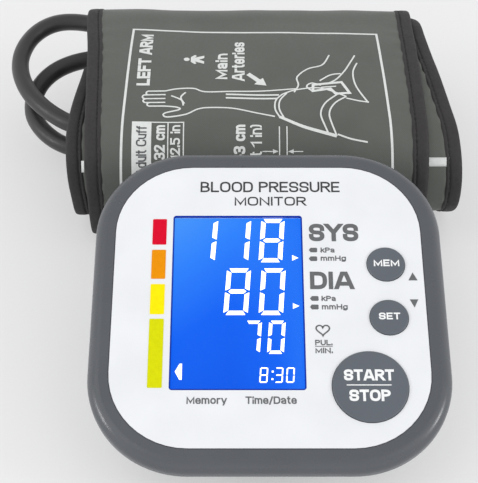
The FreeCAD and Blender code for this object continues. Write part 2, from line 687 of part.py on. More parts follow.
BARB, TUBE_OUTSIDE, TUBE_INSIDE = 3.0, 4.8, 3.3
MANIFOLD = (-38.0, -46.0, 20.0)
VALVE_X, VALVE_Y, VALVE_Z = -44.5, -77.0, 12.0
VALVE_LONG, VALVE_SIDE = 20.0, 14.0


def release_valve_body():
    half, side = VALVE_LONG / 2, VALVE_SIDE / 2
    coil = block("valve_block", (VALVE_X - side, VALVE_Y - half, BASE_TOP),
                 (VALVE_X + side, VALVE_Y + half, VALVE_Z + side))
    bore = rod("valve_bore", 6.4, (VALVE_X, VALVE_Y - half - 1, VALVE_Z), 17.0, "y")
    barb = rod("valve_barb", BARB, (VALVE_X, VALVE_Y + half - 1, VALVE_Z), 4.0, "y")
    return cut("release_valve_body", fuse("valve_with_barb", coil, barb), bore)


def valve_plunger():
    front = VALVE_Y - VALVE_LONG / 2
    core = rod("plunger_core", 5.8, (VALVE_X, front - 1.4, VALVE_Z), 13.0, "y")
    cap = rod("plunger_cap", 9.0, (VALVE_X, front - 2.8, VALVE_Z), 1.6, "y")
    return fuse("valve_plunger", core, cap)


def valve_spring():
    """The plunger's return spring, as stacked wire rings."""
    rings = []
    for turn in range(6):
        ring = doc.addObject("Part::Torus", f"valve_ring_{turn}")
        bind(ring, Radius1=2.3, Radius2=0.35)
        place(ring, (VALVE_X, VALVE_Y + 2.05 + 0.6 * turn, VALVE_Z), ALONG["y"])
        rings.append(ring)
    return fuse("valve_spring", *rings)


SENSOR_X, SENSOR_Y, SENSOR_LOW = -38.0, 13.4, BOARD_LOW - 4.0


def pressure_sensor():
    case = block("sensor_case", (SENSOR_X - 4, SENSOR_Y - 4, SENSOR_LOW),
                 (SENSOR_X + 4, SENSOR_Y + 4, BOARD_LOW), FACE)
    barb = rod("sensor_barb", BARB, (SENSOR_X, SENSOR_Y, SENSOR_LOW - 2.0), 3.0, frame=FACE)
    return fuse("pressure_sensor", case, barb)


def air_manifold():
    x, y, z = MANIFOLD
    core = block("manifold_core", (x - 3, y - 3, z - 3), (x + 3, y + 3, z + 3))
    barbs = [rod("manifold_left", BARB, (x - 6, y, z), 4.0, "x"),
             rod("manifold_top", BARB, (x, y, z + 2), 4.0),
             rod("manifold_front", BARB, (x, y - 6, z), 4.0, "y"),
             rod("manifold_rear", BARB, (x, y + 2, z), 4.0, "y")]
    return fuse("air_manifold", core, *barbs)


def air_tubes():
    """Silicone tubes pushed over the barbs, from the manifold to the other four air parts."""
    x, y, z = MANIFOLD
    sensor, below = on_face(SENSOR_X, SENSOR_Y, SENSOR_LOW), on_face(SENSOR_X, SENSOR_Y, SENSOR_LOW - 4)
    nozzle = d.socket_x + d.socket_long + 1
    routes = {
        "socket_tube": [(nozzle + 0.1, y, z), (nozzle + 2, y + 0.02, z), (x - 3.1, y, z)],
        "pump_tube": [(x, y + 3.1, z), (x, y + 12, z), (x + 0.4, d.pump_y - 4.4, z), (x + 3.4, d.pump_y, z),
                      (HEAD_START, d.pump_y, z)],
        "sensor_tube": [(x, y, z + 3.1), (below.x, below.y, below.z), (sensor.x, sensor.y, sensor.z)],
        "valve_tube": [(x, y - 3.1, z), (x, y - 8, z), (VALVE_X, VALVE_Y + VALVE_LONG / 2 + 7, VALVE_Z),
                       (VALVE_X, VALVE_Y + VALVE_LONG / 2, VALVE_Z)],
    }
    tubes = []
    for name, points in routes.items():
        outside, inside = (tube(name, points, size) for size in (TUBE_OUTSIDE, TUBE_INSIDE))
        tubes.append(made(name, outside.cut(inside)))
    return group("air_tubes", *tubes)


def air_socket():
    x = d.socket_x - 0.8
    flange = rod("socket_flange", 13.0, (x, d.socket_y, d.socket_z), 0.8, "x")
    barrel = rod("socket_barrel", 10.0, (x, d.socket_y, d.socket_z), d.socket_long + 1.8, "x")
    nozzle = rod("socket_nozzle", BARB, (x + d.socket_long + 1, d.socket_y, d.socket_z), 2.6, "x")
    bore = rod("socket_bore_hole", d.socket_bore, (x - 1, d.socket_y, d.socket_z), d.socket_long + 1, "x")
    return cut("air_socket", fuse("socket_solid", flange, barrel, nozzle), bore)


def power_jack():
    shell = block("jack_shell", (JACK_X - 12, JACK_Y - JACK_HALF, JACK_Z - JACK_HALF),
                  (JACK_X, JACK_Y + JACK_HALF, JACK_Z + JACK_HALF))
    bore = rod("jack_bore", 6.0, (JACK_X - 9, JACK_Y, JACK_Z), 12.0, "x")
    pin = rod("jack_pin", 1.6, (JACK_X - 10, JACK_Y, JACK_Z), 9.0, "x")
    return fuse("power_jack", cut("jack_hollow", shell, bore), pin)


# ------------------------------------------------------------------------------------------- cuff
HALF = d.strip_thick / 2
RIGHT_ANGLE, LEVEL, BACKWARD = 90.0, 0.0, 180.0


class Strip:
    """A strip's centre line in the YZ plane, as lines and arcs: a stretch of the wound cuff."""

    def __init__(self, y, z, heading):
        self.y, self.z, self.heading = float(y), float(z), float(heading)
        self.pieces = []

    def line(self, length):
        length = float(length)
        self.pieces.append((self.y, self.z, self.heading, length, None))
        self.y += length * math.cos(math.radians(self.heading))
        self.z += length * math.sin(math.radians(self.heading))
        return self

    def arc(self, radius, turn):
        """Turn by some degrees; a positive turn curls up and inwards, to the left."""
        turn = float(turn)
        self.pieces.append((self.y, self.z, self.heading, turn, math.copysign(radius, turn)))
        self.y, self.z = self.at(self.pieces[-1], 1.0, 0.0)
        self.heading += turn
        return self

    @staticmethod
    def at(piece, share, out):
        """A point a share of the way along a piece, a distance outwards from the centre line."""
        y, z, heading, amount, radius = piece
        angle = math.radians(heading)
        if radius is None:
            return (y + share * amount * math.cos(angle) + out * math.sin(angle),
                    z + share * amount * math.sin(angle) - out * math.cos(angle))
        centre_y, centre_z = y - radius * math.sin(angle), z + radius * math.cos(angle)
        angle += math.radians(amount * share)
        return (centre_y + (radius + out) * math.sin(angle), centre_z - (radius + out) * math.cos(angle))

    def edges(self, out, backwards=False):
        order = reversed(self.pieces) if backwards else self.pieces
        for piece in order:
            shares = (1.0, 0.5, 0.0) if backwards else (0.0, 0.5, 1.0)
            first, middle, last = (Vector(0, *self.at(piece, share, out)) for share in shares)
            if piece[4] is None:
                yield Part.LineSegment(first, last).toShape()
            else:
                yield Part.Arc(first, middle, last).toShape()

    def band(self, low, high, x_start, x_end):
        """The solid between two distances from the centre line, from x_start to x_end."""
        outside, inside = list(self.edges(high)), list(self.edges(low, backwards=True))
        caps = [Part.LineSegment(outside[-1].Vertexes[-1].Point, inside[0].Vertexes[0].Point),
                Part.LineSegment(inside[-1].Vertexes[-1].Point, outside[0].Vertexes[0].Point)]
        loop = Part.Wire(outside + [caps[0].toShape()] + inside + [caps[1].toShape()])
        solid = Part.Face(loop).extrude(Vector(x_end - x_start, 0, 0))
        solid.translate(Vector(x_start, 0, 0))
        return solid


def fold_centres():
    """The Y of the front and rear folds' centres."""
    return d.cuff_front + HALF + d.fold_size, d.cuff_rear - HALF - d.fold_size


FRONT_FOLD, REAR_FOLD = fold_centres()
FOLD_TURN = RIGHT_ANGLE - d.dome_tilt
DOME = (REAR_FOLD - FRONT_FOLD + 2 * d.fold_size * math.sin(math.radians(d.dome_tilt))) / (
    2 * math.sin(math.radians(d.dome_tilt)))
DOME_DROP = (DOME - d.fold_size) * (1 - math.cos(math.radians(d.dome_tilt)))
SIDE_LINE = d.cuff_top - 2 * HALF - DOME_DROP - 2 * d.fold_size
STEP_LONG = 30.0
STEP_TURN = 2 * math.degrees(math.atan(d.strip_pitch / STEP_LONG))
STEP_SIZE = STEP_LONG / 2 / math.sin(math.radians(STEP_TURN))
STEP_Y, JOIN_Y, JOIN_LAP = 55.5, 46.0, 0.5


def lap_size(lap):
    """Radius of the folds of a lap: 0 is the outermost."""
    return d.fold_size - lap * d.strip_pitch


def front_fold(strip, lap):
    size = lap_size(lap)
    return strip.arc(size, FOLD_TURN).line(SIDE_LINE).arc(size, RIGHT_ANGLE)


def bottom_and_rear(strip, lap):
    """From under the middle: a step down by one lap, then up round the rear fold of this lap."""
    size = lap_size(lap)
    strip.line(STEP_Y - JOIN_Y).arc(STEP_SIZE, -STEP_TURN).arc(STEP_SIZE, STEP_TURN)
    strip.line(REAR_FOLD - STEP_Y - STEP_LONG).arc(size, RIGHT_ANGLE)
    return strip.line(SIDE_LINE).arc(size, FOLD_TURN)


def third_stretch():
    """The inner end of the strip: half the top, the front fold and the start of the bottom."""
    size = DOME - 2 * d.strip_pitch
    middle_y = (FRONT_FOLD + REAR_FOLD) / 2
    lean = math.degrees(math.asin((d.inner_end_y - middle_y) / size))
    top = d.cuff_top - HALF - 2 * d.strip_pitch
    drop = size * (1 - math.cos(math.radians(lean)))
    strip = Strip(d.inner_end_y, top - drop, BACKWARD - lean)
    strip.arc(size, lean + d.dome_tilt)
    return front_fold(strip, 2).line(JOIN_Y - FRONT_FOLD + JOIN_LAP)


def second_stretch():
    strip = Strip(JOIN_Y, HALF + 2 * d.strip_pitch, LEVEL)
    bottom_and_rear(strip, 1).arc(DOME - d.strip_pitch, 2 * d.dome_tilt)
    return front_fold(strip, 1).line(JOIN_Y - FRONT_FOLD + JOIN_LAP)


def first_stretch():
    strip = Strip(JOIN_Y, HALF + d.strip_pitch, LEVEL)
    bottom_and_rear(strip, 0).arc(DOME, 2 * d.dome_tilt)
    return front_fold(strip, 0).line(d.outer_end_y - FRONT_FOLD)


STRETCHES = [(first_stretch(), d.first_lap_x), (second_stretch(), d.second_lap_x),
             (third_stretch(), d.third_lap_x)]


def layers(low, high):
    """One layer of the strip, from binding to binding, as a band for each stretch. None overlaps the next."""
    bands = []
    for strip, x in STRETCHES:
        band = strip.band(low, high, x + d.binding_wide, x + d.strip_wide - d.binding_wide)
        bands.append(band.cut(bands[-1]) if bands else band)
    return bands


def patch(stretch, first, last, inset, low, high):
    """A hook or loop patch sunk in a face of the strip, over some pieces of a stretch."""
    strip, x = STRETCHES[stretch]
    part = Strip(0, 0, 0)
    part.pieces = strip.pieces[first:last]
    return part.band(low, high, x + inset, x + d.strip_wide - inset)


HOOK_DEEP = 0.35


def cuff():
    """The strip's layers. The outer fabric is a node for each lap."""
    hook = patch(0, 11, 12, 14.0, -HALF, -HALF + HOOK_DEEP)
    loop = patch(1, 7, 11, 22.0, HALF - HOOK_DEEP, HALF)
    inner = layers(-HALF, -HALF + d.skin_thick)
    lining = inner[0].fuse(inner[1:]).removeSplitter().cut(hook)
    laps = dict(zip(("outer", "middle", "inner"), layers(HALF - d.skin_thick, HALF)))
    laps["middle"] = laps["middle"].cut(loop)
    air = Strip(0, 0, 0)
    air.pieces = STRETCHES[1][0].pieces[1:8]
    bladder = air.band(-HALF + d.skin_thick + 0.02, HALF - d.skin_thick - 0.02, d.second_lap_x + 14,
                       d.second_lap_x + d.strip_wide - 14)
    nodes = {"cuff_bladder": bladder, "hook_patch": hook, "loop_patch": loop}
    for side, inset in (("left", 0.0), ("right", d.strip_wide - d.binding_wide)):
        edges = [strip.band(-HALF, HALF, x + inset, x + inset + d.binding_wide) for strip, x in STRETCHES]
        nodes[f"cuff_{side}_binding"] = Part.makeCompound(edges)
        laps = {lap: fabric.cut(edges) for lap, fabric in laps.items()}
        lining = lining.cut(edges)
    nodes.update({f"cuff_{lap}_lap": fabric for lap, fabric in laps.items()})
    nodes["cuff_lining"] = lining
    return [made(name, shape) for name, shape in nodes.items()]


# ------------------------------------------------------------------------- ring on the inner end
RING_Y, RING_Z, RING_WIRE, RING_LONG, RING_WIDE = 77.4, 45.4, 4.4, 16.0, 118.0
RING_X = -13.0


def cuff_d_ring():
    """A wire ring: two long bars joined by round ends."""
    bars = [rod(f"ring_bar_{index}", RING_WIRE, (RING_X - RING_WIDE / 2, y, RING_Z), RING_WIDE, "x")
            for index, y in enumerate((RING_Y, RING_Y + RING_LONG))]
    ends = [rod(f"ring_end_{index}", RING_WIRE, (x, RING_Y, RING_Z), RING_LONG, "y")
            for index, x in enumerate((RING_X - RING_WIDE / 2, RING_X + RING_WIDE / 2))]
    corners = []
    for index, (x, y) in enumerate([(x, y) for x in (RING_X - RING_WIDE / 2, RING_X + RING_WIDE / 2)
                                    for y in (RING_Y, RING_Y + RING_LONG)]):
        ball = doc.addObject("Part::Sphere", f"ring_corner_{index}")
        bind(ball, Radius=RING_WIRE / 2)
        place(ball, (x, y, RING_Z))
        corners.append(ball)
    return fuse("cuff_d_ring", *bars, *ends, *corners)


def ring_sleeve():
    """The fold of fabric that holds the ring's bar at the strip's inner end."""
    wide, start = RING_WIDE - 12, RING_X - RING_WIDE / 2 + 6
    sleeve = rod("sleeve_outer", RING_WIRE + 2.4, (start, RING_Y, RING_Z), wide, "x")
    bore = rod("sleeve_bore", RING_WIRE + 0.16, (start - 1, RING_Y, RING_Z), wide + 2, "x")
    return cut("ring_sleeve", sleeve, bore)


# ------------------------------------------------------------------------------------------- hose
PORT = (-44.0, 94.0, 15.0)
HOSE_ROUTE = [
    # out of the bladder's port and round the first turn inside the roll
    PORT, (-32.0, 94.0, 15.0), (-16.5, 98.0, 15.2), (-1.0, 95.5, 15.6), (10.5, 84.0, 16.0), (13.0, 68.5, 16.4),
    (6.0, 54.0, 16.8), (-8.5, 46.3, 17.0), (-25.3, 46.2, 17.2), (-42.5, 51.0, 17.4), (-60.0, 54.6, 17.6),
    # the lower loop, outside the roll's left end
    (-78.0, 54.4, 17.8), (-95.5, 58.6, 18.8), (-107.2, 71.0, 21.4), (-108.6, 84.4, 25.4), (-101.6, 95.6, 29.4),
    (-87.0, 101.6, 32.2), (-69.0, 102.2, 32.8), (-50.0, 101.4, 32.4), (-31.0, 102.6, 31.6),
    # the second turn inside the roll, above the first
    (-13.2, 103.4, 31.0), (2.0, 93.4, 30.6), (7.4, 76.3, 30.4), (2.0, 59.2, 30.2), (-13.2, 49.4, 30.0),
    (-30.4, 51.0, 29.9), (-48.0, 54.6, 29.8), (-66.0, 55.0, 29.7),
    # the upper loop, which crosses over the lower one
    (-84.0, 57.0, 29.9), (-100.6, 66.6, 31.6), (-112.6, 79.4, 34.0), (-117.2, 94.6, 37.0), (-112.8, 108.8, 40.2),
    (-100.6, 116.2, 42.8), (-85.2, 112.6, 42.8), (-69.0, 106.8, 41.9), (-52.0, 104.0, 41.0), (-36.0, 104.0, 41.0),
]


def bladder_port():
    """An elbow on the bladder's inner wall: a flange, a riser and a barrel that the hose meets."""
    x, y, z = PORT
    floor = 2 * HALF + d.strip_pitch
    flange = rod("port_flange", 13.0, (x - 6, y, floor), 1.2)
    riser = rod("port_riser", 8.4, (x - 6, y, floor), z - floor)
    barrel = rod("port_barrel", 8.4, (x - 6, y, z), 6.0, "x")
    cap = doc.addObject("Part::Sphere", "port_cap")
    bind(cap, Radius=4.2)
    place(cap, (x - 6, y, z))
    return fuse("bladder_port", flange, riser, barrel, cap)


def air_plug():
    """Hard plug on the hose's far end: a grip, a collar and a nozzle for the air socket."""
    x, y, z = HOSE_ROUTE[-1]
    grip = rod("plug_grip", 11.0, (x, y, z), 16.0, "x")
    collar = rod("plug_collar", 12.0, (x + 16, y, z), 2.5, "x")
    nozzle = rod("plug_nozzle", d.plug_size, (x + 18.5, y, z), 12.0, "x")
    air_way = rod("plug_air_way", 2.6, (x + 10, y, z), 30.0, "x")
    groove = cut("plug_groove", rod("groove_outer", 8.0, (x + 23, y, z), 1.6, "x"),
                 rod("groove_core", 4.6, (x + 22, y, z), 4.0, "x"))
    return cut("air_plug", fuse("plug_solid", grip, collar, nozzle), air_way, groove)


def plug_seal():
    x, y, z = HOSE_ROUTE[-1]
    ring = doc.addObject("Part::Torus", "plug_seal")
    bind(ring, Radius1=2.35 + 0.72, Radius2=0.7)
    place(ring, (x + 23.8, y, z), ALONG["x"])
    return ring


def air_hose():
    return made("air_hose", tube("air_hose", HOSE_ROUTE, d.hose_size))


# ----------------------------------------------------------------------------------------- export
def subparts():
    monitor = [front_bezel(), front_panel(), display_window(), lcd_glass(), lcd_backlight(), lcd_frame(),
               main_circuit_board(), board_components(), board_screws(), beeper(), button_switches(),
               rear_case(), case_screws(), rubber_feet(), battery_door(), battery_cells(),
               battery_springs(), battery_contacts()]
    monitor += [button(name) for name in BUTTONS]
    air = [pump_motor_can(), pump_head(), pump_rotor(), release_valve_body(), valve_plunger(),
           valve_spring(), pressure_sensor(), air_manifold(), air_tubes(), air_socket(), power_jack()]
    roll = [*cuff(), cuff_d_ring(), ring_sleeve(), bladder_port(), air_hose(), air_plug(), plug_seal()]
    return monitor + air + roll


def check(things):
    failed = [thing.Name for thing in doc.Objects if {"Invalid", "Error"} & set(thing.State)]
    if failed:
        raise RuntimeError(f"objects failed: {failed}")
    for thing in things:
        if thing.Shape.isNull() or not thing.Shape.isValid():
            raise RuntimeError(f"{thing.Label} has no valid shape")


def main():
    things = subparts()
    doc.recompute()
    check(things)
    os.makedirs("parts", exist_ok=True)
    whole = FreeCAD.BoundBox()
    for thing in things:
        thing.Shape.exportStep(os.path.join("parts", f"{thing.Label}.step"))
        if thing.Label not in ("air_hose", "air_plug", "plug_seal"):
            whole.add(thing.Shape.BoundBox)
    print(f"{len(things)} nodes; box without the hose x {whole.XMin:.2f} {whole.XMax:.2f}"
          f" y {whole.YMin:.2f} {whole.YMax:.2f} z {whole.ZMin:.2f} {whole.ZMax:.2f}")


main()
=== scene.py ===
"""Upper arm blood pressure monitor with its rolled cuff: everything that shows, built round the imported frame.

Lengths are in millimetres here and become metres where a mesh is made. The cuff is one strip wound into a
flat roll: a place on it is x across the roll, s along the strip from its inner end, and out from its middle.
"""
import json
import math

import bmesh
import bpy
from mathutils import Matrix, Vector, noise


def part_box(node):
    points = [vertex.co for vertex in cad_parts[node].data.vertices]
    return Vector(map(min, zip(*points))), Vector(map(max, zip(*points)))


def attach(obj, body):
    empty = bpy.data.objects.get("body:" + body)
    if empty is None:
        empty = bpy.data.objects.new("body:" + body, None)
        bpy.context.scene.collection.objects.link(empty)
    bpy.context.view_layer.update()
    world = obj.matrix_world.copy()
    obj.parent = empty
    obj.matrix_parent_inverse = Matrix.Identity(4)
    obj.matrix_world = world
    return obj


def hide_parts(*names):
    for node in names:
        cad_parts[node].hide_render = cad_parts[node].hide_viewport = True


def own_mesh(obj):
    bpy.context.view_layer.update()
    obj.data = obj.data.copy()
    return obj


MM = 0.001
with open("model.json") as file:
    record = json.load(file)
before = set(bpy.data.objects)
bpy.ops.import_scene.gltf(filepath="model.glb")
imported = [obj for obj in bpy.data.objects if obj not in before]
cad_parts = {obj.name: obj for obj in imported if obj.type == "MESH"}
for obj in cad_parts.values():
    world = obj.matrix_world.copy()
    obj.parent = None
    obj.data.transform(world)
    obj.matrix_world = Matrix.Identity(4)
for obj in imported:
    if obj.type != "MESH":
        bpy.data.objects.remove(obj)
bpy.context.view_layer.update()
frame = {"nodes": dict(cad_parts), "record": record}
nodes = frame["nodes"]


# ---- camera
def show(name, data):
    """A new object in the scene."""
    thing = bpy.data.objects.new(name, data)
    bpy.context.collection.objects.link(thing)
    return thing


def add_camera():
    bpy.context.scene.view_settings.view_transform = "Standard"
    camera = show("camera", bpy.data.cameras.new("camera"))
    camera.data.lens, camera.data.sensor_width = 95.4, 36
    camera.location = Vector((-11.3, -395.8, 394.0)) * MM
    camera.rotation_euler = (math.radians(46), 0, 0)
    bpy.context.scene.camera = camera


add_camera()


# ---- materials
def linear(colour):
    """Linear RGBA of an 8-bit screen colour."""
    parts = [c / 255 for c in colour]
    return [c / 12.92 if c <= 0.04045 else ((c + 0.055) / 1.055) ** 2.4 for c in parts] + [1.0]


class Finish:
    """A procedural material: a principled shader and short ways to wire what feeds it."""

    def __init__(self, name, colour, rough=0.5, specular=0.5, **sockets):
        self.material = bpy.data.materials.new(name)
        self.material.use_nodes = True
        self.tree = self.material.node_tree
        self.shader = self.tree.nodes["Principled BSDF"]
        self.colour = linear(colour)
        self.set(self.shader, {"Base Color": self.colour, "Roughness": rough, "Specular IOR Level": specular,
                               **sockets})

    def set(self, node, inputs):
        for key, value in inputs.items():
            if isinstance(value, bpy.types.NodeSocket):
                self.tree.links.new(value, node.inputs[key])
            else:
                node.inputs[key].default_value = value

    def node(self, kind, inputs=None, **properties):
        node = self.tree.nodes.new(f"ShaderNode{kind}")
        for key, value in properties.items():
            setattr(node, key, value)
        self.set(node, inputs or {})
        return node

    def math(self, operation, first, second=0.0):
        return self.node("Math", {0: first, 1: second}, operation=operation).outputs[0]

    def place(self, kind="Object"):
        return self.node("TexCoord").outputs[kind]

    def noise(self, size, detail=3.0):
        """Noise whose blobs are about size millimetres."""
        inputs = {"Vector": self.place(), "Scale": 1 / (size * MM), "Detail": detail}
        return self.node("TexNoise", inputs).outputs["Fac"]

    def span(self, value, low, high, first=0.0, last=1.0):
        """Low where the value is first, high where it is last, and in line between them."""
        ends = {"From Min": first, "From Max": last, "To Min": low, "To Max": high}
        return self.node("MapRange", {"Value": value, **ends}).outputs[0]

    def shade(self, value, dark, light):
        """The base colour, made darker or lighter by a value from 0 to 1."""
        scale = self.span(value, dark, light, 0.3, 0.7)
        mixed = self.node("VectorMath", {0: self.colour[:3], "Scale": scale}, operation="SCALE")
        self.set(self.shader, {"Base Color": mixed.outputs[0]})

    def bump(self, height, strength, distance):
        """Relief of so many millimetres."""
        relief = self.node("Bump", {"Height": height, "Strength": strength, "Distance": distance * MM})
        self.set(self.shader, {"Normal": relief.outputs[0]})

    def roughen(self, value, low, high):
        self.set(self.shader, {"Roughness": self.span(value, low, high, 0.3, 0.7)})


def moulded(name, colour, rough=0.42, grain=0.35, relief=0.012, **sockets):
    """Moulded plastic: a fine spark texture, and slow changes in gloss and tone."""
    finish = Finish(name, colour, rough, **sockets)
    finish.bump(finish.noise(grain, 2.0), 0.6, relief)
    finish.roughen(finish.noise(9.0), rough - 0.05, rough + 0.07)
    finish.shade(finish.noise(24.0), 0.97, 1.03)
    return finish.material


def woven(name, colour, pitch, ribbed=False, relief=0.05, tone=(0.84, 1.12), **sockets):
    """Cloth whose threads follow the UV map, in metres. Ribbed cloth has slanting twill ribs."""
    finish = Finish(name, colour, 0.72, **sockets)
    split = finish.node("SeparateXYZ", {0: finish.place("UV")})
    wave = 2 * math.pi / (pitch * MM)
    along = finish.math("MULTIPLY", split.outputs[0], wave)
    across = finish.math("MULTIPLY", split.outputs[1], wave)
    if ribbed:
        threads = finish.math("SINE", finish.math("ADD", along, across))
    else:
        threads = finish.math("MULTIPLY", finish.math("SINE", along), finish.math("SINE", across))
    threads = finish.span(threads, 0.0, 1.0, -1.0, 1.0)
    slub = finish.noise(1.3, 4.0)
    height = finish.math("ADD", finish.math("MULTIPLY", threads, 0.7), finish.math("MULTIPLY", slub, 0.6))
    finish.bump(height, 0.8, relief)
    patches = finish.math("ADD", finish.math("MULTIPLY", finish.noise(22.0), 0.55),
                          finish.math("MULTIPLY", finish.math("ADD", threads, slub), 0.34))
    finish.shade(patches, *tone)
    finish.roughen(slub, 0.62, 0.82)
    return finish.material


def metal(name, colour, rough):
    finish = Finish(name, colour, rough, Metallic=1.0)
    finish.roughen(finish.noise(3.0), rough - 0.06, rough + 0.1)
    finish.bump(finish.noise(0.6), 0.3, 0.01)
    return finish.material


def rubber(name, colour, rough=0.5, relief=0.03):
    finish = Finish(name, colour, rough, **{"Sheen Weight": 0.12, "Sheen Roughness": 0.5})
    finish.bump(finish.noise(0.9, 4.0), 0.5, relief)
    finish.roughen(finish.noise(7.0), rough - 0.08, rough + 0.1)
    finish.shade(finish.noise(14.0), 0.93, 1.07)
    return finish.material


def ink(name, colour, rough=0.5):
    """Printing ink, a little uneven."""
    finish = Finish(name, colour, rough, specular=0.12)
    finish.shade(finish.noise(1.6), 0.95, 1.03)
    finish.bump(finish.noise(0.5), 0.3, 0.01)
    return finish.material


def glowing(name, colour, strength):
    return Finish(name, colour, 0.5, **{"Emission Color": linear(colour), "Emission Strength": strength})


def lcd_material():
    """The lit display: brightest at the upper left, darkest low in the middle."""
    finish = glowing("lcd_glass", (20, 104, 250), 1.0)
    split = finish.node("SeparateXYZ", {0: finish.place()})
    right = finish.span(split.outputs[0], 0.0, 0.43, -0.037, 0.013)
    down = finish.math("MULTIPLY", finish.span(split.outputs[1], 0.86, 0.0, -0.100, -0.028),
                       finish.span(split.outputs[0], 1.0, 0.1, -0.014, 0.011))
    ramp = finish.node("ValToRGB", {"Fac": finish.math("ADD", right, down)})
    stops = [(0.0, (73, 152, 253)), (0.28, (46, 130, 254)), (0.62, (16, 99, 246)), (1.0, (10, 90, 236))]
    elements = ramp.color_ramp.elements
    while len(elements) < len(stops):
        elements.new(0.5)
    for element, (position, colour) in zip(elements, stops):
        element.position, element.color = position, linear(colour)
    finish.set(finish.shader, {"Base Color": (0.0, 0.01, 0.04, 1.0), "Emission Color": ramp.outputs[0],
                               "Specular IOR Level": 0.1})
    return finish.material


ALL_MATERIALS = (
    moulded("bezel_plastic", (81, 84, 89), 0.27, relief=0.0015),
    moulded("panel_plastic", (230, 232, 235), 0.4, relief=0.006, specular=0.25),
    moulded("frame_plastic", (26, 34, 58), 0.6),
    moulded("case_plastic", (76, 78, 81), 0.5, relief=0.02),
    moulded("button_plastic", (90, 96, 104), 0.42, relief=0.008),
    moulded("component_black", (30, 30, 32), 0.55),
    moulded("circuit_board", (22, 92, 48), 0.35),
    moulded("pump_plastic", (214, 212, 204), 0.5),
    moulded("silicone_tube", (214, 212, 204), 0.3),
    moulded("socket_plastic", (46, 47, 50), 0.4),
    moulded("port_plastic", (44, 43, 45), 0.45),
    moulded("plug_plastic", (50, 49, 52), 0.32),
    moulded("battery_can", (58, 60, 66), 0.3),
    rubber("foot_rubber", (40, 40, 41), 0.7),
    rubber("bladder_rubber", (44, 44, 45), 0.6),
    rubber("hose_rubber", (45, 43, 44), 0.42),
    metal("screw_steel", (176, 176, 176), 0.35),
    metal("contact_metal", (200, 199, 194), 0.25),
    metal("motor_steel", (168, 168, 170), 0.34),
    metal("ring_metal", (190, 190, 192), 0.22),
    woven("cuff_fabric", (84, 87, 82), 0.9, **{"Sheen Weight": 0.12, "Sheen Roughness": 0.4}),
    woven("cuff_lining", (50, 51, 50), 0.7, relief=0.04),
    woven("binding_tape", (42, 40, 41), 0.8, ribbed=True, relief=0.06),
    woven("hook_tape", (44, 44, 45), 1.2, relief=0.4),
    woven("loop_tape", (56, 57, 56), 1.6, relief=0.3),
    woven("thread", (34, 33, 34), 0.5, ribbed=True, relief=0.04),
    ink("white_print", (219, 222, 220), 0.6),
    ink("dark_print", (92, 94, 96), 0.6),
    ink("label_grey", (104, 106, 108), 0.45),
    ink("label_dark", (64, 66, 68), 0.45),
    # painted shade: the dark blue of the band round the display's opening, which stands for the recess's shade
    moulded("window_shade_rim", (2, 48, 158), 0.5, relief=0.004, specular=0.1),
    # painted shade: the colour of the thin line that stands for the shaded gap round the panel
    moulded("gap_shade_dark", (48, 50, 60), 0.5),
    ink("label_white", (240, 241, 242), 0.45),
    ink("scale_red", (215, 3, 43), 0.3),
    ink("scale_orange", (232, 144, 0), 0.3),
    ink("scale_yellow", (254, 231, 0), 0.3),
    ink("scale_green", (214, 216, 0), 0.3),
    glowing("digits", (255, 255, 255), 1.0).material,
    glowing("backlight", (120, 160, 255), 0.4).material,
    Finish("display_window", (30, 60, 120), 0.05, Alpha=0.03, specular=0.12).material,
    lcd_material(),
)
# Blender adds a number to a name that the frame's own materials have taken
MATERIALS = {material.name.split(".")[0]: material for material in ALL_MATERIALS}


# ---- making and wiring
def new_object(name, mesh, material, body="cuff", smooth=True):
    """A piece that shows. Its slot is named as its material."""
    mesh.materials.clear()
    mesh.materials.append(MATERIALS[material])
    for polygon in mesh.polygons:
        polygon.use_smooth = smooth
    thing = show(name, mesh)
    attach(thing, body)
    return thing


def mesh_of(name, points, faces, uvs=None):
    """A mesh from points in millimetres. uvs holds a pair for each point."""
    mesh = bpy.data.meshes.new(name)
    mesh.from_pydata([Vector(point) * MM for point in points], [], faces)
    if uvs:
        layer = mesh.uv_layers.new(name="strip")
        for loop in mesh.loops:
            layer.data[loop.index].uv = [value * MM for value in uvs[loop.vertex_index]]
    mesh.validate()
    return mesh


def tube_faces(rows, ring, base=0):
    """The faces of a closed tube: so many rings of points from base on, and a cap at each end."""
    last = base + (rows - 1) * ring
    faces = [(row + k, row + (k + 1) % ring, row + (k + 1) % ring + ring, row + k + ring)
             for row in range(base, last, ring) for k in range(ring)]
    return faces + [tuple(range(base, base + ring))[::-1], tuple(range(last, last + ring))]


def outward(mesh):
    """The mesh with its faces turned outward."""
    work = bmesh.new()
    work.from_mesh(mesh)
    bmesh.ops.recalc_face_normals(work, faces=work.faces)
    work.to_mesh(mesh)
    work.free()
    return mesh


def mesh_from(name, work):
    """A mesh out of a bmesh, which is used up."""
    mesh = bpy.data.meshes.new(name)
    work.to_mesh(mesh)
    work.free()
    return mesh


def smooth_step(value, low, high):
    share = min(1.0, max(0.0, (value - low) / (high - low)))
    return share * share * (3 - 2 * share)


def plate(work, left, right, closed, thick):
    """A thin closed plate between two lines of points."""
    rows = [[work.verts.new((*point, height)) for point, height in
             ((a, 0), (b, 0), (b, thick), (a, thick))] for a, b in zip(left, right)]
    count = len(rows)
    for index in range(count if closed else count - 1):
        row, after = rows[index], rows[(index + 1) % count]
        for k in range(4):
            work.faces.new((row[k], after[k], after[(k + 1) % 4], row[(k + 1) % 4]))
    if not closed:
        work.faces.new(rows[0])
        work.faces.new(rows[-1][::-1])


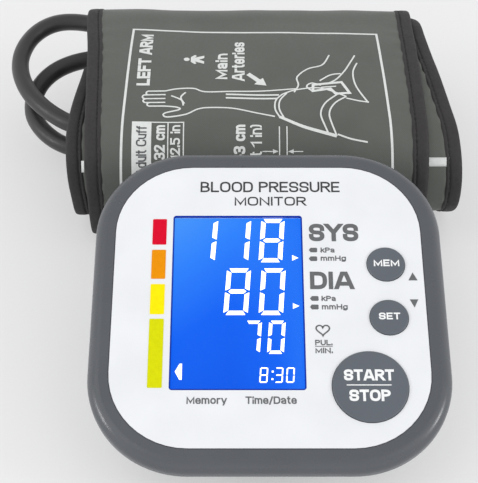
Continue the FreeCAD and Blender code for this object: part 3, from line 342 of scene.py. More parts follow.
def flat_shapes(name, shapes, thick):
    """Flat shapes as thin closed plates: outlines as lists of (x, y), and ribbons."""
    work = bmesh.new()
    for order, shape in enumerate(shapes):
        # overlapping shapes differ in height, so that no two faces share a plane
        height = thick * (1 + 0.12 * (order % 5))
        if isinstance(shape, tuple):
            plate(work, *shape, height)
            continue
        low = [work.verts.new((x, y, 0)) for x, y in shape]
        high = [work.verts.new((x, y, height)) for x, y in shape]
        work.faces.new(low[::-1])
        work.faces.new(high)
        for index in range(len(shape)):
            after = (index + 1) % len(shape)
            work.faces.new((low[index], low[after], high[after], high[index]))
    return outward(mesh_from(name, work))


def ribbon(points, wide, closed=False):
    """The two sides of a line drawn that wide, mitred at its corners."""
    count = len(points)
    points = [Vector(point) for point in points]
    left, right = [], []
    for index, point in enumerate(points):
        before = points[index - 1] if index or closed else None
        after = points[(index + 1) % count] if index < count - 1 or closed else None
        into = (point - before).normalized() if before is not None else (after - point).normalized()
        away = (after - point).normalized() if after is not None else into
        middle = (into + away).normalized()
        normal = Vector((-middle.y, middle.x))
        reach = wide / 2 / max(0.45, abs(normal.dot(Vector((-into.y, into.x)))))
        left.append(point + normal * reach)
        right.append(point - normal * reach)
    return left, right, closed


def pen_stroke(points, pen, closed, half_high):
    """A letter's stroke, its ends longer by half the pen and cut level, with nothing above the letter."""
    left, right, closed = ribbon(points, pen, closed)
    for end, inner in () if closed else ((0, 1), (-1, -2)):
        way = (Vector(points[end]) - Vector(points[inner])).normalized()
        level = points[end][1] + math.copysign(pen / 2, way.y)
        for line in (left, right):
            line[end] += way * ((level - line[end].y) / way.y if abs(way.y) > 0.5 else pen / 2)
    if abs(points[0][1]) <= half_high:
        for place in left + right:
            place.y = min(half_high, place.y)
    return left, right, closed


def curved(points, steps=6, closed=False):
    """A smooth line through points."""
    count = len(points)
    pick = (lambda i: points[i % count]) if closed else (lambda i: points[min(max(i, 0), count - 1)])
    line = []
    for index in range(count if closed else count - 1):
        p, q, r, t = (Vector(pick(index + k)) for k in (-1, 0, 1, 2))
        for step in range(steps):
            u = step / steps
            line.append(0.5 * (2 * q + (r - p) * u + (2 * p - 5 * q + 4 * r - t) * u * u
                               + (3 * q - p - 3 * r + t) * u ** 3))
    if not closed:
        line.append(Vector(points[-1]))
    return [tuple(point) for point in line]


def disc(x, y, size, sides=20):
    turns = [2 * math.pi * k / sides for k in range(sides)]
    return [(x + size / 2 * math.cos(angle), y + size / 2 * math.sin(angle)) for angle in turns]


def bar(x0, y0, x1, y1, corner=0.0, steps=4):
    """A rectangle, or one with round corners."""
    if not corner:
        return [(x0, y0), (x1, y0), (x1, y1), (x0, y1)]
    outline = []
    for cx, cy, turn in ((x1 - corner, y0 + corner, -90), (x1 - corner, y1 - corner, 0),
                         (x0 + corner, y1 - corner, 90), (x0 + corner, y0 + corner, 180)):
        for step in range(steps + 1):
            angle = math.radians(turn + 90 / steps * step)
            outline.append((cx + corner * math.cos(angle), cy + corner * math.sin(angle)))
    return outline


# Plain letters as pen strokes: a width, then strokes of grid points, x and y from 0 to 8 (a and b are below
# the line). A stroke's mark says that its corners are round (~), or round and closed (o).
LETTERS = {
    "A": (0.86, "00 38 58 80", "12 72"), "B": (0.70, "00 08", "~08 78 74 04", "~04 84 80 00"),
    "C": (0.76, "~86 88 08 00 80 82"), "D": (0.74, "00 08", "~08 88 80 00"),
    "E": (0.62, "88 08 00 80", "04 74"), "F": (0.60, "88 08 00", "04 74"),
    "H": (0.74, "00 08", "80 88", "04 84"), "I": (0.0, "00 08"), "L": (0.58, "08 00 80"),
    "M": (0.92, "00 08 41 88 80"), "N": (0.76, "00 08 80 88"), "O": (0.82, "o00 08 88 80"),
    "P": (0.68, "00 08", "~08 88 84 04"), "R": (0.72, "00 08", "~08 88 84 04", "44 80"),
    "S": (0.70, "~86 88 08 04 84 80 00 02"), "T": (0.68, "08 88", "48 40"), "U": (0.74, "~08 00 80 88"),
    "Y": (0.76, "08 44 88", "44 40"), "1": (0.32, "06 88 80"), "2": (0.60, "~06 08 88 85 00", "00 80"),
    "3": (0.60, "~07 08 88 84 34", "~34 84 80 00 01"), "5": (0.60, "88 08 05", "~05 85 80 00 01"),
    "9": (0.60, "o04 08 88 84", "~85 80 00 01"), "a": (0.54, "~05 06 86 80", "~83 03 00 80"),
    "b": (0.58, "00 08", "o00 06 86 80"), "c": (0.52, "~85 86 06 00 80 81"),
    "d": (0.58, "80 88", "o00 06 86 80"), "e": (0.56, "03 83", "~83 86 06 00 80 81"),
    "f": (0.34, "~30 38 88", "06 76"), "g": (0.58, "o00 06 86 80", "~86 8b 0b 0a"),
    "i": (0.0, "00 04", "07 08"), "k": (0.54, "00 08", "02 76", "34 80"), "l": (0.0, "00 08"),
    "m": (0.90, "00 06", "~04 06 46 40", "~44 46 86 80"), "n": (0.56, "00 06", "~04 06 86 80"),
    "o": (0.58, "o00 06 86 80"), "r": (0.32, "00 06", "~04 06 86"), "s": (0.50, "~85 86 06 03 83 80 00 01"),
    "t": (0.32, "~38 30 80", "06 76"), "u": (0.56, "~06 00 80", "80 86"), "y": (0.58, "06 40", "86 3b"),
    "/": (0.34, "0a 88"), "(": (0.16, "~88 08 00 80"), ")": (0.16, "~08 88 80 00"), "-": (0.34, "03 83"),
    ".": (0.0, "00 01"), " ": (0.18,),
}


# the rows of the letters' grid, from the lowest up
GRID = "ba012345678"


def rounded(points, reach, closed):
    """A line with each corner rounded, by up to so much of its two sides."""
    count = len(points)
    points = [Vector(point) for point in points]
    line = []
    for index, point in enumerate(points):
        if not closed and index in (0, count - 1):
            line.append(tuple(point))
            continue
        before, after = points[index - 1] - point, points[(index + 1) % count] - point
        shares = [0.9 if not closed and last else 0.5 for last in (index == 1, index == count - 2)]
        start = point + before.normalized() * min(reach, before.length * shares[0])
        end = point + after.normalized() * min(reach, after.length * shares[1])
        for step in range(6):
            t = step / 5
            line.append(tuple(start * (1 - t) ** 2 + point * (2 * t * (1 - t)) + end * t * t))
    return [place for index, place in enumerate(line) if math.dist(place, line[index - 1]) > 1e-4]


def lettering(text, wide, high, weight=0.13, thick=0.05):
    """A line of lettering as thin plates, centred on the origin and fitted to a width and a height."""
    pen = weight * high
    natural = [LETTERS[letter][0] * high for letter in text]
    gap = 0.13 * high + pen
    spread = (wide - pen) / (sum(natural) + gap * (len(text) - 1))
    shapes, x = [], -(wide - pen) / 2
    for letter, width in zip(text, natural):
        for stroke in LETTERS[letter][1:]:
            closed = stroke[0] == "o"
            points = [(x + int(across) / 8 * width * spread, (GRID.index(up) / 8 - 0.75) * (high - pen))
                      for across, up in stroke.lstrip("~o").split()]
            if stroke[0] in "~o":
                points = rounded(points, 0.34 * high, closed)
            shapes.append(pen_stroke(points, pen, closed, high / 2))
        x += (width + gap) * spread
    return flat_shapes("lettering", shapes, thick)


def joined(name, meshes):
    """One mesh out of several (mesh, matrix) pairs."""
    work = bmesh.new()
    for mesh, matrix in meshes:
        piece = mesh.copy()
        piece.transform(matrix)
        work.from_mesh(piece)
        bpy.data.meshes.remove(piece)
    return mesh_from(name, work)


# ---- air hose
HOSE_SIZE, HOSE_LONG = 8.0, 606.0
HOSE_ROUTE = [
    # out of the bladder's port and round the first turn inside the roll
    (-44, 94, 15), (-32, 94, 15), (-16.5, 98, 15.2), (-1, 95.5, 15.6), (10.5, 84, 16),
    (13, 68.5, 16.4), (6, 54, 16.8), (-8.5, 46.3, 17), (-25.3, 46.2, 17.2), (-42.5, 51, 17.4),
    (-60, 54.6, 17.6),
    # the lower loop, outside the roll's left end
    (-78, 52, 18), (-95, 57, 19), (-107, 71, 21.5), (-108, 85, 25.5), (-101, 97, 29.5),
    (-87, 104, 32), (-69, 105, 32.5), (-50, 103, 32.5), (-31, 102.6, 31.6),
    # the second turn inside the roll, above the first
    (-13.2, 103.4, 31), (2, 93.4, 30.6), (7.4, 76.3, 30.4), (2, 59.2, 30.2), (-13.2, 49.4, 30),
    (-30.4, 51, 29.9), (-48, 54.6, 29.8), (-66, 55, 29.7),
    # the upper loop, which crosses over the lower one
    (-84, 55, 30), (-98, 64, 31.5), (-110, 78, 34), (-115, 95, 37), (-111, 111, 40),
    (-100, 120, 42.5), (-85, 120, 42.5), (-69, 113, 42), (-52, 106, 41), (-36, 104, 41),
]


def add_hose():
    curve = bpy.data.curves.new("hose_line", "CURVE")
    curve.dimensions = "3D"
    curve.bevel_depth, curve.bevel_resolution = HOSE_SIZE / 2 * MM, 7
    curve.resolution_u, curve.use_fill_caps = 10, True
    spline = curve.splines.new("NURBS")
    spline.points.add(len(HOSE_ROUTE) - 1)
    for point, place in zip(spline.points, HOSE_ROUTE):
        point.co = (*(value * MM for value in place), 1.0)
    spline.order_u, spline.use_endpoint_u = 3, True
    curve.materials.append(MATERIALS["hose_rubber"])
    hose = show("rubber_hose", curve)
    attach(hose, "cuff")
    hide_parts("air_hose")


add_hose()


# ---- cuff strip
STRIP_HALF, LAP_PITCH, FOLD_SIZE, DOME_TILT = 1.5, 3.4, 25.0, 5.8
STEP_LONG, STEP_Y, INNER_END_Y, OUTER_END_Y = 30.0, 55.5, 73.5, 54.0
COVER_OUT, BINDING_OUT, BINDING_WIDE = 1.3, 1.68, 6.6
# the fold line along the binding that its stitches lie in, and the step between the strip's rows of points
SEAM_INSET, ROW_STEP = 4.85, 1.6


class Roll:
    """The strip's middle line in the YZ plane, from its inner end to its outer one: runs and arcs."""

    def __init__(self, front, rear, top):
        self.pieces = []
        fold_front, fold_rear = front + STRIP_HALF + FOLD_SIZE, rear - STRIP_HALF - FOLD_SIZE
        slope = math.sin(math.radians(DOME_TILT))
        dome = (fold_rear - fold_front + 2 * FOLD_SIZE * slope) / (2 * slope)
        drop = (dome - FOLD_SIZE) * (1 - math.cos(math.radians(DOME_TILT)))
        side = top - 2 * STRIP_HALF - drop - 2 * FOLD_SIZE
        step_turn = 2 * math.degrees(math.atan(LAP_PITCH / STEP_LONG))
        step_size = STEP_LONG / 2 / math.sin(math.radians(step_turn))

        fold_top = top - drop - STRIP_HALF - FOLD_SIZE
        self.folds = (fold_front, fold_top - side), (fold_rear, fold_top)
        size = dome - 2 * LAP_PITCH
        lean = math.degrees(math.asin((INNER_END_Y - (fold_front + fold_rear) / 2) / size))
        height = top - STRIP_HALF - 2 * LAP_PITCH - size * (1 - math.cos(math.radians(lean)))
        self.end = (INNER_END_Y, height, 180.0 - lean)
        self.arc(size, lean + DOME_TILT)
        self.domes = []
        for lap in (2, 1, 0):
            fold = FOLD_SIZE - lap * LAP_PITCH
            self.arc(fold, 90 - DOME_TILT)
            self.line(side)
            self.arc(fold, 90)
            if not lap:
                break
            outer = fold + LAP_PITCH
            self.line(STEP_Y - fold_front)
            self.arc(-step_size, -step_turn)
            self.arc(step_size, step_turn)
            self.line(fold_rear - STEP_Y - STEP_LONG)
            self.arc(outer, 90)
            self.line(side)
            self.arc(outer, 90 - DOME_TILT)
            self.domes.append(self.long)
            self.arc(dome - (lap - 1) * LAP_PITCH, 2 * DOME_TILT)
        self.line(OUTER_END_Y - fold_front)

    @property
    def long(self):
        return sum(piece[4] for piece in self.pieces)

    def add(self, piece):
        self.pieces.append(piece)
        y, z = self.on(piece, 1.0, 0.0)
        self.end = (y, z, piece[2] + (math.degrees(piece[4] / piece[3]) if piece[3] else 0.0))

    def line(self, long):
        self.add((*self.end, None, long))

    def arc(self, radius, turn):
        """Turns left with a positive radius and turn, and right with both negative."""
        self.add((*self.end, radius, radius * math.radians(turn)))

    @staticmethod
    def on(piece, share, out):
        y, z, heading, radius, long = piece
        angle = math.radians(heading)
        if radius is None:
            return (y + share * long * math.cos(angle) + out * math.sin(angle),
                    z + share * long * math.sin(angle) - out * math.cos(angle))
        middle_y, middle_z = y - radius * math.sin(angle), z + radius * math.cos(angle)
        angle += share * long / radius
        return middle_y + (radius + out) * math.sin(angle), middle_z - (radius + out) * math.cos(angle)

    def at(self, s, out):
        for piece in self.pieces:
            if s <= piece[4]:
                break
            s -= piece[4]
        return self.on(piece, min(1.0, s / piece[4]), out)


low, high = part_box("cuff_left_binding")
roll = Roll(low.y / MM, high.y / MM, high.z / MM)
STRIP_LONG = roll.long
# the strip's left edge, and its right one, at some places along it
LEFT_EDGE = [(0, -81), (40, -85), (95, -82), (160, -76), (216, -75), (290, -68), (345, -66), (440, -75),
             (488, -82), (530, -79), (590, -76), (670, -76)]
RIGHT_EDGE = [(0, 63), (60, 61), (160, 72), (240, 75), (312, 83), (345, 83), (440, 74), (484, 69), (670, 69)]


def eased(keys, s):
    """A smooth curve through (s, x) keys."""
    last = len(keys) - 1
    index = max(k for k in range(last) if s >= keys[k][0] or not k)
    (s0, x0), (s1, x1) = keys[index:index + 2]
    slopes = []
    for k in (index, index + 1):
        (before, x_before), (after, x_after) = keys[max(k - 1, 0)], keys[min(k + 1, last)]
        slopes.append((x_after - x_before) / (after - before))
    long = s1 - s0
    u = min(1.0, max(0.0, (s - s0) / long))
    return (x0 * (1 + 2 * u) * (1 - u) ** 2 + slopes[0] * long * u * (1 - u) ** 2 + x1 * u * u * (3 - 2 * u)
            + slopes[1] * long * u * u * (u - 1))


def edges(s):
    return eased(LEFT_EDGE, s), eased(RIGHT_EDGE, s)


def squared(y, z, centre, power):
    """A fold's quarter circle about a centre made squarer, or flatter with a power below 2."""
    reach = math.hypot(y - centre[0], z - centre[1])
    if reach < 1e-6:
        return y, z
    across, up = abs(y - centre[0]) / reach, abs(z - centre[1]) / reach
    scale = (across ** power + up ** power) ** (-1 / power)
    return centre[0] + (y - centre[0]) * scale, centre[1] + (z - centre[1]) * scale


def settled(x, y, z):
    """The roll's weight squares its lower front fold at the left, and the hose fills its upper rear one."""
    front, rear = roll.folds
    if y < front[0] and z < front[1]:
        return squared(y, z, front, 5.0 - 3.1 * smooth_step(x, -85, 85))
    if y > rear[0] and z > rear[1]:
        return squared(y, z, rear, 2.7 - 0.7 * smooth_step(x, 70, 76))
    return y, z


def on_strip(x, s, out):
    """A point of the strip. The whole roll bulges and sinks a little, but not where it lies flat."""
    y, z = settled(x, *roll.at(s, out))
    y1, z1 = settled(x, *roll.at(s, out + 1))
    bulge = 1.1 * noise.noise(Vector((x, y, z)) / 41) + 0.35 * noise.noise(Vector((x, y + 90, z)) / 17)
    bulge *= smooth_step(z, 5, 20)
    return x, y + (y1 - y) * bulge, z + (z1 - z) * bulge


def pucker(s, inset):
    """Small gathers that the binding's stitches pull into the cloth."""
    wave = math.sin(s / 1.45 + 2.2 * noise.noise(Vector((s / 9, inset / 30, 3.0))))
    return 0.16 * wave * math.exp(-inset / 4.0) * (1 + noise.noise(Vector((s / 25, 7.0, inset / 9))))


def cover_out(x, s):
    """Height of the cloth's outer face: gathered along both bindings."""
    left, right = edges(s)
    inset = max(0.0, min(x - left, right - x) - BINDING_WIDE)
    return COVER_OUT + pucker(s, inset) * smooth_step(min(s, STRIP_LONG - s), 5, 12)


def steps_between(first, last, step):
    count = max(1, math.ceil((last - first) / step))
    return [first + (last - first) * k / count for k in range(count + 1)]


def sheet_mesh(name, s_range, x_at, lower, upper, lanes):
    """A closed sheet along the strip. x_at gives its two edges at a place; lower and upper are its faces."""
    places = steps_between(*s_range, ROW_STEP)
    points, uvs = [], []
    for s in places:
        left, right = x_at(s)
        across = [left + (right - left) * k / lanes for k in range(lanes + 1)]
        for face, row in ((upper, across), (lower, across[::-1])):
            points += [on_strip(x, s, face(x, s)) for x in row]
            uvs += [(s, x) for x in row]
    return mesh_of(name, points, tube_faces(len(places), 2 * (lanes + 1)), uvs)


def add_cover():
    inset, lanes = BINDING_WIDE - 1.2, 60
    s_range = (1.5, STRIP_LONG - 1.5)

    def within(s):
        left, right = edges(s)
        return left + inset, right - inset

    def inner(x, s):
        left, right = within(s)
        return -COVER_OUT - 0.5 * pucker(s, min(x - left, right - x))

    mesh = sheet_mesh("cuff_cover", s_range, within, lambda x, s: -0.1, cover_out, lanes)
    cover = new_object("cuff_cover", mesh, "cuff_fabric")
    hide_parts("cuff_outer_lap", "cuff_middle_lap", "cuff_inner_lap", "cuff_bladder")
    mesh = sheet_mesh("cuff_inner_lining", s_range, within, inner, lambda x, s: -0.15, lanes)
    lining = new_object("cuff_inner_lining", mesh, "cuff_lining")
    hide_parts("cuff_lining")


def tape_mesh(name, places, on_tape):
    """Tape folded over an edge. on_tape turns a place, an inset from the edge and a height into x, s, out."""
    half = [(-0.45, 0.0), (-0.38, 0.75), (-0.1, 1.3), (0.5, 1.6), (1.45, 1.72), (3.2, 1.74),
            (4.2, BINDING_OUT), (4.6, 1.5), (SEAM_INSET, 1.22), (5.1, 1.5), (5.4, BINDING_OUT), (6.0, 1.62),
            (6.45, 1.45), (BINDING_WIDE, 1.2), (BINDING_WIDE, 0.9)]
    section = half + [(inset, -out) for inset, out in half[:0:-1]]
    points, uvs = [], []
    for place in places:
        for inset, out in section:
            x, s, height = on_tape(place, inset, out)
            points.append(on_strip(x, min(max(s, 0.0), STRIP_LONG), height))
            uvs.append((place, inset + out))
    return mesh_of(name, points, tube_faces(len(places), len(section)), uvs)


def add_binding(side):
    """The tape folded over one long edge."""
    last = side == "right"
    inward = -1 if last else 1

    def on_tape(s, inset, out):
        swell = 1 + 0.035 * math.sin(s / 1.7) + 0.05 * noise.noise(Vector((s / 11, 2.0, inward)))
        return edges(max(0.0, s))[last] + inward * inset, s, out * swell

    mesh = tape_mesh(f"cuff_{side}_tape", steps_between(-0.3, STRIP_LONG + 0.3, ROW_STEP), on_tape)
    binding = new_object(f"cuff_{side}_tape", mesh, "binding_tape")
    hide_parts(f"cuff_{side}_binding")


def add_end_tapes():
    """The tape over the strip's two ends, from edge to edge."""
    for name, start, inward in (("inner", 0.0, 1), ("outer", STRIP_LONG, -1)):
        left, right = edges(start)
        mesh = tape_mesh(f"cuff_{name}_end_tape", steps_between(left + 0.6, right - 0.6, 2.5),
                         lambda x, inset, out: (x, start + inward * inset, out * 0.98))
        new_object(f"cuff_{name}_end_tape", outward(mesh), "binding_tape")


def add_stitches():
    """The lockstitch along both bindings: a short raised stitch, thinner at its ends, in each step."""
    long, step, depth, around = 1.7, 2.6, 0.22, 6
    profile = ((0.0, 0.10), (0.25, 0.2), (0.75, 0.2), (1.0, 0.10))
    points, faces = [], []
    for side, inward in ((0, 1), (1, -1)):
        s = 4.0
        while s < STRIP_LONG - 5:
            x = edges(s)[side] + inward * SEAM_INSET
            faces += tube_faces(len(profile), around, len(points))
            for share, size in profile:
                for turn in range(around):
                    angle = 2 * math.pi * turn / around
                    points.append(on_strip(x + size * math.cos(angle), s + long * share,
                                           BINDING_OUT - depth + size * math.sin(angle)))
            s += step
    mesh = mesh_of("cuff_stitches", points, faces, [(point[1], point[0]) for point in points])
    new_object("cuff_stitches", mesh, "thread", "cuff")


def add_tapes():
    """Hook tape inside the outer end, and loop tape on the lap that it grips."""
    mesh = sheet_mesh("hook_tape_strip", (STRIP_LONG - 16, STRIP_LONG - 5.5),
                      lambda s: (edges(s)[0] + 14, edges(s)[1] - 14), lambda x, s: -COVER_OUT - 0.25,
                      lambda x, s: -COVER_OUT + 0.2, 30)
    hook = new_object("hook_tape_strip", mesh, "hook_tape")
    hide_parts("hook_patch")
    start = roll.domes[0]
    mesh = sheet_mesh("loop_tape_strip", (start + 2, start + 138), lambda s: (-40.0, 66.0),
                      lambda x, s: COVER_OUT - 0.3, lambda x, s: COVER_OUT + 0.12, 30)
    loop = new_object("loop_tape_strip", mesh, "loop_tape")
    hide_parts("loop_patch")


add_cover()
for tape_side in ("left", "right"):
    add_binding(tape_side)
add_end_tapes()
add_stitches()
add_tapes()


# ---- cuff print
PRINT_START, PRINT_RAISED = roll.domes[1] + 8.5, 0.1


def wrapped(name, mesh, cut=1.7):
    """A flat mesh laid on the outermost lap: its x is the roll's, its y runs from the front to the rear."""
    work = bmesh.new()
    work.from_mesh(mesh)
    for axis in (0, 1):
        values = [vertex.co[axis] for vertex in work.verts]
        spot = math.floor(min(values) / cut) * cut + cut
        normal = Vector((axis == 0, axis == 1, 0))
        while spot < max(values):
            geometry = work.verts[:] + work.edges[:] + work.faces[:]
            bmesh.ops.bisect_plane(work, geom=geometry, plane_co=normal * spot, plane_no=normal, dist=1e-5)
            spot += cut * (1 if axis else 2)
    for vertex in work.verts:
        x, s = vertex.co.x, PRINT_START - vertex.co.y
        vertex.co = Vector(on_strip(x, s, cover_out(x, s) + 0.03 + vertex.co.z)) * MM
    return outward(mesh_from(name, work))


def turned_text(text, x0, x1, t_top, long, weight):
    """Lettering that reads towards the rear, between x0 and x1, ending t_top down the print."""
    mesh = lettering(text, long, x1 - x0, weight, PRINT_RAISED)
    place = Matrix.Translation(((x0 + x1) / 2, -(t_top + long / 2), 0)) @ Matrix.Rotation(math.pi / 2, 4, "Z")
    return mesh, place


def finger(x, t, long, wide):
    """The open outline of a finger that points left, from its root at x."""
    tip = x - long + wide / 2
    bend = [(tip - wide / 2 * math.sin(a), -(t + wide / 2) + wide / 2 * math.cos(a))
            for a in (math.pi * k / 8 for k in range(9))]
    return [(x, -t), *bend, (x, -(t + wide))]


def arm_diagram():
    """A plain line drawing: an open hand, the forearm with its artery, and a cuff on the upper arm."""
    line = 0.7
    strokes = [finger(-43.2, 46, 8.3, 2.3), finger(-43, 48.3, 10, 2.4), finger(-43, 50.7, 9.6, 2.4),
               finger(-43.4, 53.1, 7.4, 2.2)]
    strokes += [curved([(x, -t) for x, t in points]) for points in (
        [(-43.2, 46), (-38, 44.6), (-31, 44.2), (-26, 46.2), (-14, 46), (2, 45.2), (14, 44)],
        [(-43.4, 55.3), (-38, 56), (-36.8, 57.4), (-42.5, 59.2), (-43.6, 60.6), (-41.6, 61.6),
         (-34, 60.2), (-29, 57.2), (-24, 56.2), (-14, 56.6), (-4, 59.2), (4, 61.4)],
        [(-40.6, 49), (-36.2, 51.6), (-35.2, 55)], [(-34.4, 46.8), (-36.4, 50), (-34.8, 53.8)],
        # the cuff on the upper arm
        [(7.6, 47.6), (4.6, 51.5), (4.2, 57), (6, 61.6)], [(9.4, 47), (6.4, 51.5), (6, 57), (7.8, 62)],
        [(7.6, 47.6), (14, 44.6), (24, 43.8), (35, 49.6)], [(35, 49.6), (29.6, 54), (27.2, 61), (30, 71)],
        [(31.4, 48), (25.8, 53.4), (23.6, 60.6), (26.4, 69.6)],
        # shoulder and chest
        [(41, 27), (38.8, 34), (39.6, 43), (44, 53)], [(35, 50.6), (40, 52.2), (44.6, 53.2)],
        [(30.4, 70.2), (36, 72.2), (43, 73.6)],
        # the hand that closes it
        [(12.6, 46.4), (14.6, 41.6), (14.2, 36), (19, 30.6), (25.6, 28), (29, 20.6)],
        [(20.6, 45.6), (18.2, 42.6), (20.4, 40.4), (24.4, 42)], [(24, 39), (28.8, 35.4), (33.4, 34.6)],
        [(26.6, 41.4), (31, 38.6), (35, 33), (37.6, 27.6), (40.4, 21)])]
    bars = [ribbon(stroke, line) for stroke in strokes]
    bars += [ribbon([(-17, -47.9), (6, -48.1)], 0.9), ribbon([(-17, -50.1), (5, -50.4)], 0.9)]
    strap = [(21, -41.6), (33.4, -40.4), (36.6, -47.4), (30.6, -47.8), (28.4, -44.4), (20.8, -45.6)]
    bars += [ribbon(strap, 1.2, closed=True), ribbon([(24.4, -43.4), (31, -43)], 0.6)]
    # the cuff's lower edge is drawn heavier
    bars.append(ribbon(curved([(6, -61.6), (16, -66.6), (30, -71)]), 1.4))
    # arrow to the artery, and the gap above the elbow
    bars.append([(-8, -34.9), (-6.6, -33.3), (-2, -37.9), (-0.8, -36.8), (0.7, -41.8), (-4.6, -41),
                 (-3.5, -39.6)])
    for x in (5.8, 9):
        bars.append(bar(x - 0.25, -100, x + 0.25, -66.6))
    for tip, tail in ((5.4, -1.4), (9.4, 15.8)):
        way = 1 if tip > tail else -1
        bars += [[(tip, -77.4), (tip - way * 2.4, -76.5), (tip - way * 2.4, -78.3)][::-way],
                 bar(min(tail, tip - way * 2), -77.6, max(tail, tip - way * 2), -77.2)]
    return bars


def add_print():
    frame_line = [(-61.6, -106), (-60.4, -46), (-59.6, 0), (51.5, -3.4), (52.4, -46), (54.2, -106)]
    bars = [ribbon(frame_line, 1.05, closed=True)] + arm_diagram()
    # size box: one filled column and two ruled ones
    columns = [-56.7, -48.4, -41.4, -34.8]
    bars.append(bar(columns[0], -104, columns[1], -64.2))
    for x in columns[2:]:
        bars.append(bar(x - 0.25, -104, x + 0.25, -64.2))
    bars.append(bar(columns[1], -64.7, columns[3] + 0.25, -64.2))
    # a plain figure with its arms out
    bars += [disc(-34.6, -23.8, 2.6),
             [(-32.8, -22), (-31, -20.2), (-30.2, -20.8), (-31.2, -22.6), (-31.2, -25), (-30.2, -26.8),
              (-31, -27.4), (-32.8, -25.6)],
             [(-31.6, -22.6), (-26.8, -20.6), (-26.8, -22.4), (-29.2, -23.8), (-26.8, -25.2), (-26.8, -27),
              (-31.6, -25)][::-1]]
    pieces = [(flat_shapes("print_lines", bars, PRINT_RAISED), Matrix.Identity(4))]
    pieces += [turned_text(*entry) for entry in (
        ("LEFT ARM", -56, -50.2, 4.4, 38, 0.235), ("Main", -21.8, -16.4, 19, 19, 0.22),
        ("Arteries", -14.4, -8.8, 10, 29, 0.2), ("22 - 32 cm", -47.2, -42.6, 65.8, 27, 0.2),
        ("9 - 12.5 in", -40.4, -36.2, 65.8, 24, 0.18), ("2-3 cm", -13.6, -8.6, 65.8, 18.5, 0.21),
        ("(about 1 in)", -6.6, -1.6, 65.8, 28, 0.15))]
    white = wrapped("cuff_print", joined("print", pieces))
    new_object("cuff_print", white, "white_print", "cuff", smooth=False)
    word, place = turned_text("Adult Cuff", -54.8, -50.4, 66.4, 21, 0.14)
    word.transform(Matrix.Translation((0, 0, 0.08)) @ place)
    dark = wrapped("cuff_print_dark", word)
    new_object("cuff_print_dark", dark, "dark_print", "cuff", smooth=False)


def add_index_tabs():
    """The white index tab on the second lap, and the end of another by the left binding."""
    low_lap = roll.domes[0] + 84.6
    for name, x_range, s_range, out in (
            ("index_tab", (68.0, 77.9), (low_lap + 0.4, low_lap + 4.0), cover_out),
            ("index_tick", (-77.7, -76.6), (592.6, 597.2), lambda x, s: BINDING_OUT)):
        tab = sheet_mesh(name, s_range, lambda s: x_range, lambda x, s: out(x, s) - 0.2,
                         lambda x, s: out(x, s) + 0.18, 8)
        new_object(name, tab, "white_print", "cuff")


add_print()
add_index_tabs()


# ---- ring and its sleeve
def add_ring_sleeve():
    """Cloth folded round the ring's bar and sewn to the strip's inner end."""
    low, high = (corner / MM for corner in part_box("ring_sleeve"))
    middle, outer, around = (low + high) / 2, (high.z - low.z) / 2, 20
    lanes = steps_between(low.x, high.x, 2.0)
    points, uvs, faces = [], [], []
    for x in lanes:
        gather = 0.14 * math.sin(x / 1.1) + 0.2 * noise.noise(Vector((x / 9, 5.0, 1.0)))
        for size, way in ((outer, 1), (outer - 1.0, -1)):
            for step in range(around):
                angle = way * 2 * math.pi * step / around
                reach = size + (gather if way > 0 else 0.0)
                points.append((x, middle.y + reach * math.cos(angle), middle.z + reach * math.sin(angle)))
                uvs.append((x, size * angle))
    both = 2 * around
    for row in range(len(lanes) - 1):
        for base in (row * both, row * both + around):
            faces += [(base + k, base + (k + 1) % around, base + (k + 1) % around + both, base + k + both)
                      for k in range(around)]
    for first in (0, (len(lanes) - 1) * both):
        mate = first + around
        faces += [(first + k, first + (k + 1) % around, mate + (-k - 1) % around, mate + (-k) % around)
                  for k in range(around)]
    mesh = outward(mesh_of("ring_loop", points, faces, uvs))
    sleeve = new_object("ring_loop", mesh, "cuff_fabric")
    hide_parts("ring_sleeve")


add_ring_sleeve()


# ---- valve spring
def add_valve_spring():
    """The release valve's return spring, which shortens as the plunger comes in."""
    low, high = (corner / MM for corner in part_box("valve_spring"))
    wire, turns, around, sides = 0.35, 3, 20, 8
    reach, middle, steps = (high.z - low.z) / 2 - wire, (low + high) / 2, turns * around
    points = []
    for step in range(steps + 1):
        angle = 2 * math.pi * step / around
        y = low.y + wire + (high.y - low.y - 2 * wire) * step / steps
        for side in range(sides):
            bend = 2 * math.pi * side / sides
            out = reach + wire * math.cos(bend)
            points.append((middle.x + out * math.cos(angle), y + wire * math.sin(bend),
                           middle.z + out * math.sin(angle)))
    mesh = outward(mesh_of("valve_coil", points, tube_faces(steps + 1, sides)))
    coil = new_object("valve_coil", mesh, "contact_metal", "monitor")
    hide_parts("valve_spring")
    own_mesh(coil)


add_valve_spring()


# ---- monitor face
FACE = (Matrix.Translation((0, -63.9 * MM, 43.0 * MM)) @ Matrix.Rotation(math.radians(16.5), 4, "X")
        @ Matrix.Scale(MM, 4))
KEY_TOP, PANEL_TOP, GLASS_TOP, PRINT_THICK = 0.7, 0.0, -2.1, 0.05


def on_face(name, mesh, height, material, body="monitor"):
    mesh.transform(FACE @ Matrix.Translation((0, 0, height)))
    return new_object(name, mesh, material, body, smooth=False)


def words(name, entries, height, material, body="monitor", shapes=()):
    """Lettering and flat shapes on the face. An entry is the text, its centre, width, height and weight."""
    pieces = [(lettering(text, wide, high, weight, PRINT_THICK), Matrix.Translation((x, y, 0)))
              for text, x, y, wide, high, weight in entries]
    if shapes:
        pieces.append((flat_shapes(name, shapes, PRINT_THICK), Matrix.Identity(4)))
    return on_face(name, joined(name, pieces), height, material, body)


